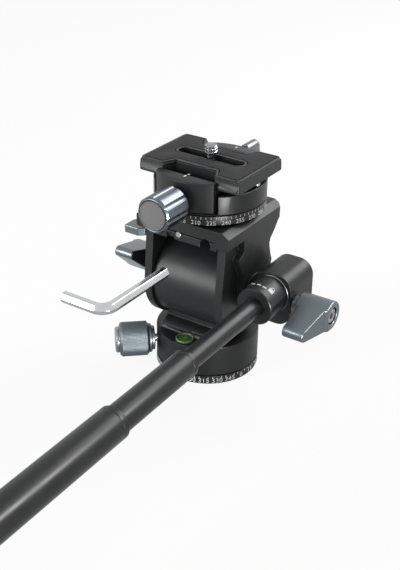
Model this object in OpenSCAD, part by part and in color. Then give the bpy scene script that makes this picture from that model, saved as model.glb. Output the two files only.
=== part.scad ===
// Fluid video head: a pan base with a degree scale, a tilt barrel between the two arms of
// a yoke, a panorama clamp with a slotted camera plate, and a telescopic pan handle.
// X is the tilt axis, +X is the handle side, +Y is the lens direction and -Y the operator.
// The origin is the centre of the base, on the face that sits on the tripod.

/* [Base] */
// Diameter of the base, its scale ring and the pan housing
base_d = 52; // [50:0.5:58]
// Height of the lower scale ring
ring_h = 4.5; // [3.5:0.5:6]
// Radial wall of the lower scale ring
ring_wall = 2.6; // [2:0.2:4]
// Gap between faces that turn past each other
turn_gap = 0.4; // [0.3:0.05:0.6]
// Radial clearance of a running or push fit
fit = 0.05; // [0.02:0.01:0.08]
// Diameter of the tripod thread, 3/8 inch
thread_d = 9.525; // [6.35:0.025:9.525]
// Wall of the steel thread insert
insert_wall = 3; // [2:0.2:3.4]
// Length of the steel thread insert
insert_h = 10.5; // [8:0.5:11]
// Diameter of the spindle's stem
stem_d = 24; // [22:0.5:26]
// Radial room between the spindle's flange and the housing's bore, as a share of all from stem to bore
flange_room_share = 0.474; // [0.45:0.01:0.5]
// Thickness of the spindle's flange
flange_h = 4; // [3:0.5:4]

/* [Pan housing] */
// Height of the housing's round part above the tripod face
shelf_z = 21; // [20:0.5:24]
// Wall of the housing
housing_wall = 4.5; // [3.5:0.5:5]
// Roof over the housing's cavity
housing_roof = 4.2; // [3:0.2:4.4]
// Height of the pan lock screw above the tripod face
pan_screw_z = 13.5; // [13:0.25:14]
// Radius of the rounded shoulder that cradles the barrel
shoulder_r = 8; // [6:0.5:8.5]
// Distance of the shoulder's centre line from the tilt axis plane
shoulder_y = 11.1; // [10:0.1:12]
// Diameter of the round spirit level
bubble_d = 9.2; // [8:0.2:10]
// Distance of the spirit level's centre from the housing's side
bubble_inset = 5.4; // [5:0.2:6]

/* [Pan knob] */
// Turn of the knob from the left side towards the operator
pan_knob_turn = 42; // [30:1:50]
// Diameter of the knurled pan knob
pan_knob_d = 17.6; // [14:0.1:18]
// Length of the knurled pan knob
pan_knob_len = 14.8; // [10:0.2:16]
// Diameter of the pan lock screw
pan_screw_d = 4; // [3:0.5:5]

/* [Tilt] */
// Height of the tilt axis above the tripod face
tilt_z = 47.2; // [46.6:0.2:49]
// Diameter of the tilt barrel
barrel_d = 44; // [40:0.5:44.4]
// Length of the tilt barrel between the arms
barrel_len = 35.8; // [32:0.2:36]
// Wall of the barrel sleeve
barrel_wall = 6; // [4:0.5:7]
// Thickness of the barrel's end caps
cap_t = 3.4; // [2.6:0.2:4]
// Diameter of the tilt shaft
shaft_d = 10; // [9:0.5:11]
// Number of drag discs in the barrel
drag_count = 6; // [3:1:8]
// Thickness of one drag disc
drag_t = 1.4; // [1:0.1:1.6]

/* [Yoke] */
// Thickness of each arm
arm_t = 4.2; // [3.5:0.1:4.6]
// Radius of the arms round the tilt axis
arm_r = 23.4; // [22.6:0.2:24]
// How far the platform's front and back stand past the arms
platform_margin = 0.9; // [0.6:0.1:2]
// Height of the platform's top above the tilt axis
platform_rise = 39; // [38.6:0.2:41]
// Thickness of the platform
platform_t = 8.9; // [8:0.1:9.3]
// Width of the long chamfers on the platform's sides
platform_chamfer = 3.9; // [3:0.1:4.4]
// Diameter of the toothed rosettes
rosette_d = 19; // [17:0.5:20]
// Number of rosette teeth
rosette_teeth = 30; // [24:2:36]

/* [Wing levers] */
// Diameter of a lever's hub
hub_d = 14.4; // [13:0.2:15]
// Length of a lever from its base plane to the end of the hub
hub_len = 20; // [18:0.5:22]
// Reach from the hub's centre to the centre of the rounded tip
wing_reach = 21.7; // [19:0.1:24]
// Radius of the rounded tip
wing_tip_r = 2.6; // [2:0.1:3.2]
// Diameter of the studs that the levers turn on
stud_d = 6; // [5:0.25:6.5]

/* [Handle] */
// Slope of the handle below the horizontal
handle_slope = 1.2; // [0:0.1:10]
// Distance of the handle's axis from the pan axis
handle_x = 38; // [37.6:0.2:39]
// Height of the handle's axis above the tilt axis
handle_rise = 4.5; // [4.4:0.1:5]
// Width of the handle holder
holder_w = 20.2; // [19.8:0.1:20.6]
// Height of the handle holder
holder_h = 26.4; // [25:0.2:28]
// Diameter of the twist collar
collar_d = 17.6; // [16:0.2:18]
// Length of the twist collar
collar_len = 15.2; // [13:0.2:17]
// Diameter of the inner tube
inner_tube_d = 9.4; // [8.6:0.1:9.6]
// Diameter of the middle tube
middle_tube_d = 12.7; // [12:0.1:12.8]
// Diameter of the grip
grip_d = 15; // [14.8:0.1:16]
// Wall of the inner tube
tube_wall = 1; // [0.8:0.05:1.1]
// Wall of the thin plastic sleeves between the tubes
sleeve_wall = 0.4; // [0.3:0.05:0.45]
// Length of the inner tube that shows in front of the collar
inner_show = 55; // [45:1:60]
// Length of the middle tube that shows
middle_show = 49; // [40:1:60]
// Length of the grip
grip_len = 104; // [90:1:120]

/* [Clamp] */
// Diameter of the clamp body and the upper scale ring
clamp_d = 54; // [52:0.5:56]
// Height of the upper scale ring
upper_ring_h = 4.6; // [4:0.2:5]
// Height of the clamp body's rim above the scale ring
clamp_body_h = 9.8; // [9:0.2:11]
// Height of the two jaws above the scale ring
jaw_h = 15.8; // [15.4:0.2:16.4]
// Width of the two jaws
jaw_w = 31.6; // [28:0.2:34]
// Diameter of the clamp knob
clamp_knob_d = 17.2; // [15:0.2:18]
// Length of the clamp knob
clamp_knob_len = 16.2; // [14:0.1:18]
// Number of flutes round the clamp knob
clamp_flutes = 8; // [6:1:18]
// Diameter of the clamp screw
clamp_screw_d = 6; // [5:0.5:7]

/* [Camera plate] */
// Length of the plate along the slot
plate_len = 55.4; // [50:0.2:58]
// Width of the plate at its top
plate_top_w = 37.8; // [34:0.1:38.4]
// Width of the plate at its wide foot
plate_foot_w = 39.8; // [38.8:0.1:40]
// Height of the whole plate, with its pad
plate_h = 6.4; // [5.8:0.1:7]
// Length of the camera screw slot
slot_len = 35.8; // [30:0.2:38]
// Width of the camera screw slot
slot_w = 6.6; // [6.55:0.01:6.7]
// Diameter of the camera screw, 1/4 inch
camera_screw_d = 6.35; // [6.3:0.01:6.4]
// Height of the camera screw above the plate
camera_screw_rise = 5.8; // [4.5:0.1:6.5]

/* [Hex key] */
// Width of the key across its flats
key_af = 4.5; // [3:0.5:5]
// Length of the key's long leg
key_long = 41.9; // [38:0.1:50]
// Length of the key's short leg
key_short = 22; // [16:1:24]
// How far the key is drawn out of its rail
key_drawn = 70.8; // [60:0.1:80]

/* [Hidden] */
$fn = 96;

black = "#34353a";
dark = "#26272a";
grey = "#8d9699";
steel = "#c4c8cc";
brass = "#b08d57";
white_plastic = "#d9d6cc";
rubber = "#2a2a2b";

over = 1;
small_edge = 0.4;
edge = 0.8;

// Base and pan bearing
base_r = base_d / 2;
ring_bore_r = base_r - ring_wall;
insert_r = thread_d / 2 + insert_wall;
stem_r = stem_d / 2;
flange_room = flange_room_share * (base_r - housing_wall - stem_r);
flange_r = base_r - housing_wall - flange_room;
flange_z0 = pan_screw_z - flange_h / 2;
flange_z1 = pan_screw_z + flange_h / 2;
base_screw_d = 2.5;
base_screw_ring_r = (insert_r + stem_r) / 2;
base_screw_count = 4;
base_screw_head_d = 3.2;
base_screw_head_h = 1.4;
base_screw_len = 7;
housing_z0 = ring_h + turn_gap;
cavity_r = base_r - housing_wall;
cavity_z1 = shelf_z - housing_roof;
retainer_h = 3.2;
retainer_z0 = housing_z0 + turn_gap;
drag_gap = 0.1;
pan_disc_count = 2;
pan_disc_space = flange_z0 - retainer_z0 - retainer_h;
pan_disc_t = pan_disc_space / pan_disc_count - drag_gap;
washer_gap = 0.15;
washer_inner_r = flange_r / 2;

// Pan lock, along its own X axis, which leaves the housing at pan_knob_turn
shoe_d = 5;
shoe_t = 0.578 * flange_room;
shoe_x0 = flange_r + 0.1 * shoe_t;
pan_ring_t = 1.5;
pan_ring_big_d = 0.84 * pan_knob_d;
pan_ring_small_d = 0.7 * pan_knob_d;
pan_ring_x0 = base_r + 1.4;
pan_knob_x0 = pan_ring_x0 + 2 * pan_ring_t;
pan_knob_x1 = pan_knob_x0 + pan_knob_len;
pan_cap_d = 0.76 * pan_knob_d;
pan_cap_t = 2.2;
pan_cap_seat = 1.2;
knurl_count = 48;
knurl_depth = 0.35;

// Saddle, barrel and shaft
barrel_r = barrel_d / 2;
barrel_half = barrel_len / 2;
barrel_bore_r = barrel_r - barrel_wall;
saddle_top = tilt_z - barrel_r + 0.17 * barrel_r;
saddle_half_y = shoulder_y - over;
shoulder_z = tilt_z - barrel_r - shoulder_r - small_edge;
bubble_r = bubble_d / 2;
bubble_y = base_r - bubble_inset;
bubble_wall = 0.7;
bubble_seat = 2.4;
bubble_rise = 0.9;
barrel_screw_d = 4;
barrel_screw_y = 4.6;
barrel_screw_x = 9;
barrel_screw_head_d = 7;
barrel_screw_head_h = 2.4;
barrel_screw_top = tilt_z - barrel_bore_r - 1.2;
shaft_r = shaft_d / 2;
bush_wall = 2.6;
bush_r = shaft_r + fit + bush_wall;
seal_t = 1.6;
drag_r = barrel_bore_r - 2 * turn_gap;
drag_span = barrel_len - 2 * cap_t - 2 * seal_t - 3;
drag_pitch = drag_span / drag_count;

// Yoke
arm_gap = 0.4;
arm_x0 = barrel_half + arm_gap;
arm_x1 = arm_x0 + arm_t;
platform_half = base_r;
platform_y = arm_r + platform_margin;
platform_z1 = tilt_z + platform_rise;
platform_z0 = platform_z1 - platform_t;
platform_side_z = platform_z1 - 0.67 * platform_chamfer;
arm_front_top_y = 0.9 * arm_r;
rosette_r = rosette_d / 2;
rosette_t = 1.1;
rosette_tooth = 0.45;
rosette_gap = 0.3;
rosette_band_r = 0.66 * rosette_r;
tooth_w = PI * rosette_band_r / rosette_teeth;
rosette_x0 = platform_half;
left_boss_r = 8.4;
left_boss_t = platform_half - arm_x1 - rosette_gap;
rear_boss_r = 0.49 * platform_t;
rear_boss_t = 3.6;
spindle_r = 9;
ledge_t = 2.4;
ledge_z = platform_z0 + ledge_t;
rail_w = 2 * key_af;
rail_drop = 2.4;
lip_t = 3;
lip_drop = 1.3;
rail_short = 6;
rail_len = key_long - rail_short;
key_x = 13.2;
key_hole_r = key_af / sqrt(3) + 0.25;
key_z = platform_z0 + 0.3;
seam_z = platform_z0 + 2.6;
seam_h = 0.8;
seam_depth = 1.2;
magnet_d = 3;
magnet_t = 2;
magnet_x = key_x - 0.68 * key_short;
magnet_z = key_z + 1.3;
nick_x = magnet_x - 2.2 * magnet_d;
corner_cut = 3 * edge;
key_bend = 1.25 * key_af;
key_bend_y = key_bend - platform_y - key_af / 2 - small_edge - key_drawn;

// Wing lever
neck_d = 9.2;
hub_x0 = 3.2;
wing_x0 = 5.4;
wing_taper = 2.9;
wing_step = 1.2;
wing_step_y = 4.6;
hub_r = hub_d / 2;
lever_recess_d = 8.6;
lever_recess = 2.6;
lever_floor = hub_len - lever_recess;
lever_screw_head_d = 7.4;
lever_screw_head_h = 2;
lever_screw_d = 4;
lever_screw_len = 7;
hex_recess_af = 3;
stud_in_lever = lever_floor - lever_screw_len + over;
tilt_lever_up = 28;
wing_lever_down = 8;
tilt_lever_x = arm_x1 + left_boss_t + rosette_gap;
panorama_axis_z = (platform_z0 + platform_z1) / 2;
panorama_lever_y = platform_y + rear_boss_t + rosette_gap;
panorama_lever_x = 6;
panorama_lever_lean = 11;
panorama_screw_d = 5;

// Side lever on the left arm
side_inset = 6.5;
side_y = arm_r - side_inset;
side_rise = 26.2;
side_z = tilt_z + side_rise;
side_x0 = arm_x1 + small_edge;
side_len = 12;
side_x1 = side_x0 + side_len;
side_back = 1.8;
side_front = 6.8;
side_h = 4.2;
side_cut_x = 3;
side_cut_y = 2.4;
side_chamfer = 1.6;
side_stem_d = 2.6;

// Handle, in the frame of the tilt axis: Y along the tubes, Z up from the axis
holder_x0 = rosette_x0 + 2 * rosette_t + rosette_gap;
holder_x1 = holder_x0 + holder_w;
holder_y0 = 4.2;
spigot_len = 4.4;
spigot_y1 = holder_y0 + spigot_len;
collar_wall = 2.4;
spigot_d = collar_d - 2 * collar_wall;
tube_seat = 3;
holder_y1 = 18;
holder_top = handle_rise + holder_w / 2 + small_edge;
holder_bottom = holder_top - holder_h;
holder_round = 7.4;
collar_y0 = holder_y0 + turn_gap;
collar_y1 = collar_y0 + collar_len;
inner_r = inner_tube_d / 2;
inner_end_y = spigot_y1 - tube_seat;
inner_y1 = collar_y1 + inner_show;
middle_r = middle_tube_d / 2;
middle_y1 = inner_y1 + middle_show;
overlap = 12;
sleeve_len = 9;
grip_r = grip_d / 2;
grip_y1 = middle_y1 + grip_len;
grip_inner_r = middle_r + 2 * fit + sleeve_wall;
middle_inner_r = inner_r + 2 * fit + sleeve_wall;
end_cap_t = 5;
stud_x0 = shaft_d + over;
stud_x1 = holder_x1 + rosette_gap + stud_in_lever;

// Panorama and clamp, in heights above the tripod face
clamp_r = clamp_d / 2;
ring_z0 = platform_z1 + 1.1;
ring_z1 = ring_z0 + upper_ring_h;
pano_neck_r = 20;
pano_bore_r = spindle_r + fit;
pano_shank_r = 4;
pano_screw_r = 3;
pano_screw_end = platform_z1;
upper_ring_wall = 2.2;
upper_ring_bore_r = clamp_r - upper_ring_wall;
clamp_z0 = ring_z1 + turn_gap / 2;
clamp_z1 = ring_z1 + clamp_body_h;
seat_h = 2.6;
seat_z = clamp_z1 + seat_h;
jaw_z0 = ring_z1 + 1.2;
jaw_z1 = ring_z1 + jaw_h;
jaw_half = jaw_w / 2;
pocket_half = jaw_half + 1.6;
jaw_back_y = 13.4;
jaw_travel = 2.6;
jaw_room = 0.4;
pocket_y = jaw_back_y - jaw_travel - jaw_room;
lip_gap = 0.3;
clamp_axis_z = ring_z1 + 5.6;
clamp_knob_stand = 3.6;
clamp_knob_y0 = clamp_r + clamp_knob_stand;
clamp_knob_y1 = clamp_knob_y0 + clamp_knob_len;
clamp_boss_d = 12;
clamp_face_d = 0.8 * clamp_knob_d;
clamp_face_t = 1;
clamp_face_rise = 0.3;
flute_depth = 0.5;
flute_share = 0.23;
flute_turn = 7.7;
knob_edge = 1.1;
clamp_screw_r = clamp_screw_d / 2;
clamp_screw_end = 6;
guide_pin_d = 3;
guide_pin_x = 11;
guide_pin_len = 16;
spring_d = 5;
spring_deep = 4;
pano_head_r = 6.8;
pano_head_h = 1.8;

// Camera plate
plate_half = plate_len / 2;
plate_z0 = seat_z + 0.1;
plate_z1 = plate_z0 + plate_h;
pad_t = 1;
pad_inset = 0.7;
pad_half = plate_half - pad_inset / 2;
pad_half_w = plate_top_w / 2 - pad_inset / 2;
flare_z1 = 3.5;
flare_z0 = 1.2;
top_half = plate_top_w / 2;
foot_half = plate_foot_w / 2;
plate_corner = 2.2;
notch_depth = 6.4;
notch_in = 11.1;
notch_out = 14.6;
slot_recess_w = 11;
slot_recess_h = 3;
screw_head_d = 10.4;
screw_head_h = 2.2;
screw_neck_d = 4.6;
screw_washer_d = 10;
screw_washer_t = 0.5;
washer_z1 = plate_z0 + slot_recess_h - small_edge / 2;
thread_turns = 3;
thread_pitch = 1.27;
crest_w = 0.5;
shank_relief = 0.275;
screw_shank_d = camera_screw_d - 2 * shank_relief;
stop_screw_d = 3;
stop_screw_x = plate_half - 2.4;
stop_screw_drop = 1.9;
stop_screw_len = 4;

module rod_x(d, x0, x1) translate([x0, 0, 0]) rotate([0, 90, 0]) cylinder(d = d, h = x1 - x0);
module rod_y(d, y0, y1) translate([0, y0, 0]) rotate([-90, 0, 0]) cylinder(d = d, h = y1 - y0);
module rod_z(d, z0, z1) translate([0, 0, z0]) cylinder(d = d, h = z1 - z0);
module block(x0, x1, y0, y1, z0, z1)
  translate([x0, y0, z0]) cube([x1 - x0, y1 - y0, z1 - z0]);
module tube_z(r1, r0, z0, z1) difference() {
  rod_z(2 * r1, z0, z1);
  rod_z(2 * r0, z0 - over, z1 + over);
}
module tube_x(r1, r0, x0, x1) difference() {
  rod_x(2 * r1, x0, x1);
  rod_x(2 * r0, x0 - over, x1 + over);
}
module tube_y(r1, r0, y0, y1) difference() {
  rod_y(2 * r1, y0, y1);
  rod_y(2 * r0, y0 - over, y1 + over);
}
// A turned bar with both ends chamfered by c, along Z
module turned_z(r, z0, z1, c) rotate_extrude()
  polygon([[0, z0], [r - c, z0], [r, z0 + c], [r, z1 - c], [r - c, z1], [0, z1]]);
module turned_x(r, x0, x1, c) rotate([0, 90, 0]) turned_z(r, x0, x1, c);
module turned_y(r, y0, y1, c) rotate([-90, 0, 0]) turned_z(r, y0, y1, c);
// An outline drawn in Y and Z, thick along X
module slab_x(x0, x1) translate([x0, 0, 0]) rotate([90, 0, 90]) linear_extrude(x1 - x0) children();
// An outline drawn in X and Z, thick along Y
module slab_y(y0, y1) translate([0, y1, 0]) rotate([90, 0, 0]) linear_extrude(y1 - y0) children();
module slab_z(z0, z1) translate([0, 0, z0]) linear_extrude(z1 - z0) children();
module round_box(x0, x1, y0, y1, r) {
  translate([x0 + r, y0]) square([x1 - x0 - 2 * r, y1 - y0]);
  translate([x0, y0 + r]) square([x1 - x0, y1 - y0 - 2 * r]);
  for (x = [x0 + r, x1 - r], y = [y0 + r, y1 - r]) translate([x, y]) circle(r = r);
}
module hex_bar(af, len) cylinder(d = 2 * af / sqrt(3), h = len, $fn = 6);

// Where each moving group is drawn
module on_tilt() translate([0, 0, tilt_z]) children();
module on_pan_lock() translate([0, 0, pan_screw_z]) rotate([0, 0, 180 + pan_knob_turn]) children();
module on_tilt_lever() translate([-tilt_lever_x, 0, tilt_z]) mirror([1, 0, 0])
  rotate([-tilt_lever_up, 0, 0]) children();
module on_wing_lever() translate([holder_x1 + rosette_gap, 0, tilt_z])
  rotate([wing_lever_down, 0, 0]) children();
module on_panorama_lever() translate([-panorama_lever_x, panorama_lever_y, panorama_axis_z])
  rotate([0, 0, 90]) rotate([-90 + panorama_lever_lean, 0, 0]) children();
module on_side_lever() translate([0, -side_y, side_z]) mirror([1, 0, 0]) children();
module on_handle() on_tilt() rotate([handle_slope, 0, 0]) mirror([0, 1, 0]) children();
module on_tube() on_handle() translate([handle_x, 0, handle_rise]) children();
module on_clamp_axis() translate([0, 0, clamp_axis_z]) mirror([0, 1, 0]) children();

// Base

module base_plate() color(dark) difference() {
  rod_z(2 * (ring_bore_r - fit), 0, ring_h);
  rod_z(2 * (insert_r + fit), -over, ring_h + over);
  base_screw_places() {
    rod_z(base_screw_d + 2 * fit, -over, ring_h + over);
    rod_z(base_screw_head_d + 2 * fit, -over, base_screw_head_h + small_edge);
  }
}

module base_scale_ring() color(black) rotate_extrude() polygon([
  [ring_bore_r, 0], [base_r - small_edge, 0], [base_r, small_edge],
  [base_r, ring_h], [ring_bore_r, ring_h]
]);

module base_screw_places() for (i = [0 : base_screw_count - 1])
  rotate([0, 0, (i + 0.5) * 360 / base_screw_count]) translate([base_screw_ring_r, 0, 0]) children();

module thread_insert() color(steel) tube_z(insert_r, thread_d / 2, 0, insert_h);

module pan_spindle() color(steel) difference() {
  union() {
    rod_z(stem_d, ring_h, flange_z1);
    turned_z(flange_r, flange_z0, flange_z1, small_edge);
  }
  rod_z(2 * (insert_r + fit), ring_h - over, insert_h + fit);
  base_screw_places() rod_z(base_screw_d + 2 * fit, ring_h - over, base_screw_len + base_screw_head_h);
}

module base_screws() color(steel) base_screw_places() difference() {
  union() {
    rod_z(base_screw_d, small_edge, base_screw_len);
    rod_z(base_screw_head_d, small_edge, small_edge + base_screw_head_h);
  }
  translate([0, 0, -over]) hex_bar(base_screw_d / 2, over + 2 * small_edge);
}

// Pan bearing

module pan_retainer() color(dark)
  tube_z(cavity_r - fit, stem_r + turn_gap, retainer_z0, retainer_z0 + retainer_h);

module pan_drag_discs() color(white_plastic) for (i = [0 : pan_disc_count - 1]) {
  z = retainer_z0 + retainer_h + drag_gap / 2 + i * (pan_disc_t + drag_gap);
  tube_z(flange_r, stem_r + fit, z, z + pan_disc_t);
}

module pan_thrust_washer() color(brass)
  tube_z(flange_r - edge, washer_inner_r, flange_z1 + washer_gap / 2, cavity_z1 - washer_gap / 2);

// Pan housing

module shoulder_cradle() difference() {
  union() {
    for (side = [-1, 1]) translate([0, side * shoulder_y, shoulder_z])
      turned_x(shoulder_r, -barrel_half, barrel_half, edge);
    block(-barrel_half, barrel_half, -shoulder_y, shoulder_y, shoulder_z, shoulder_z + shoulder_r);
    block(-barrel_half, barrel_half, -saddle_half_y, saddle_half_y, shoulder_z, saddle_top);
  }
  on_tilt() rod_x(2 * (barrel_r + fit), -barrel_half - over, barrel_half + over);
  block(-base_r, base_r, -base_r, base_r, -over, cavity_z1 + over);
}

module pan_housing() color(black) difference() {
  union() {
    difference() {
      turned_z(base_r, housing_z0, shelf_z, small_edge);
      rod_z(2 * cavity_r, housing_z0 - over, cavity_z1);
    }
    shoulder_cradle();
  }
  translate([0, -bubble_y, 0]) rod_z(2 * (bubble_r + fit), shelf_z - bubble_seat, tilt_z - barrel_r);
  on_pan_lock() rod_x(pan_screw_d + 2 * fit, 0, base_r + over);
  barrel_screw_places() {
    rod_z(barrel_screw_d + 2 * fit, cavity_z1 - over, tilt_z);
    rod_z(barrel_screw_head_d + 2 * fit, cavity_z1 - over, cavity_z1 + barrel_screw_head_h + small_edge);
  }
}

module bubble_cup() color(steel) translate([0, -bubble_y, 0]) difference() {
  turned_z(bubble_r, shelf_z - bubble_seat, shelf_z + bubble_rise, small_edge / 2);
  rod_z(2 * (bubble_r - bubble_wall), shelf_z - bubble_seat + bubble_wall, shelf_z + 2 * bubble_rise);
}

module bubble_vial() color("#5da33c") translate([0, -bubble_y, 0])
  turned_z(bubble_r - bubble_wall - fit, shelf_z - bubble_seat + bubble_wall + fit,
    shelf_z + bubble_rise - small_edge / 2, small_edge / 2);

// Pan lock

module knurl_outline() difference() {
  circle(d = pan_knob_d);
  for (i = [0 : knurl_count - 1]) rotate([0, 0, i * 360 / knurl_count])
    translate([pan_knob_d / 2, 0]) rotate([0, 0, 45]) square(sqrt(2) * knurl_depth, center = true);
}

module pan_knob() color(grey) on_pan_lock() difference() {
  union() {
    turned_x(pan_ring_small_d / 2, pan_ring_x0, pan_ring_x0 + pan_ring_t + over, small_edge);
    turned_x(pan_ring_big_d / 2, pan_ring_x0 + pan_ring_t, pan_knob_x0 + over, small_edge);
    slab_x(pan_knob_x0 + edge, pan_knob_x1 - edge) knurl_outline();
    turned_x(pan_knob_d / 2 - 2 * knurl_depth, pan_knob_x0, pan_knob_x1, small_edge);
  }
  rod_x(pan_screw_d + 2 * fit, pan_ring_x0 - over, pan_knob_x1 - pan_cap_seat - over);
  rod_x(pan_cap_d + 2 * fit, pan_knob_x1 - pan_cap_seat, pan_knob_x1 + over);
}

module pan_knob_cap() color(grey) on_pan_lock()
  turned_x(pan_cap_d / 2, pan_knob_x1 - pan_cap_seat + fit, pan_knob_x1 + pan_cap_t, edge);

module pan_lock_screw() {
  color(steel) on_pan_lock()
    rod_x(pan_screw_d, shoe_x0 + shoe_t + fit, pan_knob_x1 - pan_cap_seat - 2 * over);
  color(brass) on_pan_lock() rod_x(shoe_d - 2 * fit, shoe_x0, shoe_x0 + shoe_t);
}

// Tilt barrel

module barrel_screw_places()
  for (x = [-barrel_screw_x, barrel_screw_x], y = [-barrel_screw_y, barrel_screw_y])
    translate([x, y, 0]) children();

module tilt_barrel() color(black) difference() {
  on_tilt() difference() {
    turned_x(barrel_r, -barrel_half, barrel_half, small_edge);
    rod_x(2 * barrel_bore_r, -barrel_half - over, barrel_half + over);
  }
  barrel_screw_places() rod_z(barrel_screw_d + 2 * fit, shelf_z, barrel_screw_top + 2 * fit);
}

module barrel_screws() color(steel) barrel_screw_places() difference() {
  union() {
    rod_z(barrel_screw_head_d, cavity_z1 + small_edge, cavity_z1 + small_edge + barrel_screw_head_h);
    rod_z(barrel_screw_d, cavity_z1 + small_edge, barrel_screw_top);
  }
  translate([0, 0, cavity_z1]) hex_bar(hex_recess_af, barrel_screw_head_h);
}

module both_ends() for (side = [0, 1]) mirror([side, 0, 0]) on_tilt() children();

module barrel_caps() color(dark) both_ends()
  tube_x(barrel_bore_r - fit, bush_r + fit, barrel_half - cap_t, barrel_half - fit);

module tilt_bushes() color(brass) both_ends()
  tube_x(bush_r, shaft_r + fit, barrel_half - cap_t, barrel_half - fit);

module barrel_seals() color(rubber) both_ends()
  tube_x(bush_r, shaft_r + fit, barrel_half - cap_t - seal_t, barrel_half - cap_t - fit);

module tilt_drag_discs() color(white_plastic) on_tilt() for (i = [0 : drag_count - 1]) {
  x = (i - (drag_count - 1) / 2) * drag_pitch;
  tube_x(drag_r, shaft_r + fit, x - drag_t / 2, x + drag_t / 2);
}

// Yoke

module arm_outline() {
  circle(r = arm_r);
  polygon([
    [-arm_r, 0], [-arm_front_top_y, platform_z0 - tilt_z + over],
    [platform_y - edge, platform_z0 - tilt_z + over], [platform_y - 3 * edge, 0.76 * platform_rise],
    [0.86 * arm_r, 0.64 * platform_rise], [0.84 * arm_r, 0.46 * platform_rise],
    [0.94 * arm_r, 0.24 * platform_rise], [arm_r, 0]
  ]);
}

// The web that carries the rosette up to the platform, and the open pocket in front of it
module web_outline() polygon([
  [-0.42 * platform_y, platform_rise - platform_t + over], [-0.4 * platform_y, 0.64 * platform_rise],
  [-0.6 * platform_y, 0.56 * platform_rise], [-0.4 * platform_y, 0.29 * platform_rise],
  [-0.36 * platform_y, 0], [0.36 * platform_y, 0], [0.7 * platform_y, 0.26 * platform_rise],
  [0.6 * platform_y, 0.4 * platform_rise], [0.57 * platform_y, 0.52 * platform_rise],
  [0.6 * platform_y, 0.58 * platform_rise], [0.73 * platform_y, 0.65 * platform_rise],
  [0.86 * platform_y, 0.75 * platform_rise], [0.93 * platform_y, platform_rise - platform_t + over]
]);

module platform_outline() polygon([
  [-platform_half, platform_z0 + edge], [-platform_half + edge, platform_z0],
  [platform_half - edge, platform_z0], [platform_half, platform_z0 + edge],
  [platform_half, platform_side_z], [platform_half - platform_chamfer, platform_z1],
  [-platform_half + platform_chamfer, platform_z1], [-platform_half, platform_side_z]
]);

module rear_boss() difference() {
  rod_y(2 * rear_boss_r, platform_y - over, platform_y + rear_boss_t);
  rod_y(panorama_screw_d + 2 * fit, 0, platform_y + rear_boss_t + over);
}

module platform() difference() {
  union() {
    slab_y(-platform_y, platform_y) platform_outline();
    block(key_x - rail_w / 2, key_x + rail_w / 2, -platform_y + 2 * key_af, rail_len - platform_y,
      platform_z0 - rail_drop, platform_z0 + over);
    block(-arm_x0 - over, arm_x0 + over, -platform_y, -platform_y + lip_t,
      platform_z0 - lip_drop, platform_z0 + over);
  }
  rod_z(2 * pano_bore_r, ledge_z, platform_z1 + over);
  rod_z(2 * (pano_shank_r + fit), platform_z0 - over, ledge_z + over);
  translate([key_x, 0, key_z]) rod_y(2 * key_hole_r, -platform_y - over, platform_y + over);
  block(key_x - key_hole_r, key_x + key_hole_r, -platform_y - over, platform_y + over,
    platform_z0 - rail_drop - over, platform_z0 - rail_drop + fit);
  block(-arm_x0, arm_x0, -platform_y - over, -platform_y + seam_depth, seam_z, seam_z + seam_h);
  translate([magnet_x, 0, magnet_z])
    rod_y(magnet_d + 2 * fit, -platform_y - over, -platform_y + magnet_t);
  block(nick_x, magnet_x - 0.8 * magnet_d, -platform_y - over, -platform_y + magnet_t,
    platform_z0 - lip_drop - over, magnet_z);
  translate([-panorama_lever_x, 0, panorama_axis_z])
    rod_y(panorama_screw_d + 2 * fit, 0, platform_y + over);
  for (side = [-1, 1]) translate([side * platform_half, platform_y, platform_z0 - over])
    rotate([0, 0, 45]) translate([-corner_cut / 2, -corner_cut / 2, 0])
      cube([corner_cut, corner_cut, platform_t + 2 * over]);
}

module yoke() color(black) difference() {
  union() {
    for (side = [0, 1]) mirror([side, 0, 0]) on_tilt() slab_x(arm_x0, arm_x1) arm_outline();
    on_tilt() slab_x(arm_x1 - over, platform_half) web_outline();
    on_tilt() turned_x(rosette_r, arm_x0, rosette_x0, small_edge);
    on_tilt() turned_x(left_boss_r, -arm_x1 - left_boss_t, -arm_x0, small_edge);
    platform();
    translate([-panorama_lever_x, 0, panorama_axis_z]) rear_boss();
  }
  on_tilt() rod_x(shaft_d + 2 * fit, -arm_x1, arm_x1);
  on_tilt() rod_x(stud_d + 2 * fit, -tilt_lever_x - over, rosette_x0 + over);
  on_side_lever() rod_x(side_stem_d + 2 * fit, arm_x0 - over, arm_x1 + over);
}

module tilt_shaft() color(steel) on_tilt() difference() {
  turned_x(shaft_r, -arm_x1 + fit, arm_x1 - fit, small_edge);
  for (side = [0, 1]) mirror([side, 0, 0]) rod_x(stud_d + 2 * fit, stud_x0 - fit, arm_x1 + over);
}

// One half of the toothed joint: a disc with a ring of radial teeth
module rosette(x0) {
  tube_x(rosette_r, stud_d / 2 + fit, x0, x0 + rosette_t - rosette_tooth);
  for (i = [0 : rosette_teeth - 1]) rotate([i * 360 / rosette_teeth, 0, 0])
    block(x0 + small_edge, x0 + rosette_t, -tooth_w / 2, tooth_w / 2, rosette_band_r,
      rosette_r - small_edge / 2);
}

module rosette_fixed() color(steel) on_tilt() rosette(rosette_x0);

module handle_stud() color(steel) on_tilt()
  turned_x(stud_d / 2, stud_x0, stud_x1, small_edge);

module tilt_stud() color(steel) on_tilt()
  turned_x(stud_d / 2, -tilt_lever_x - stud_in_lever, -stud_x0, small_edge);

module key_magnet() color(steel) translate([magnet_x, 0, magnet_z])
  turned_y(magnet_d / 2, -platform_y + fit, -platform_y + magnet_t - fit, small_edge / 2);

// Wing levers: the same casting on the tilt shaft, the handle and the panorama lock

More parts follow.
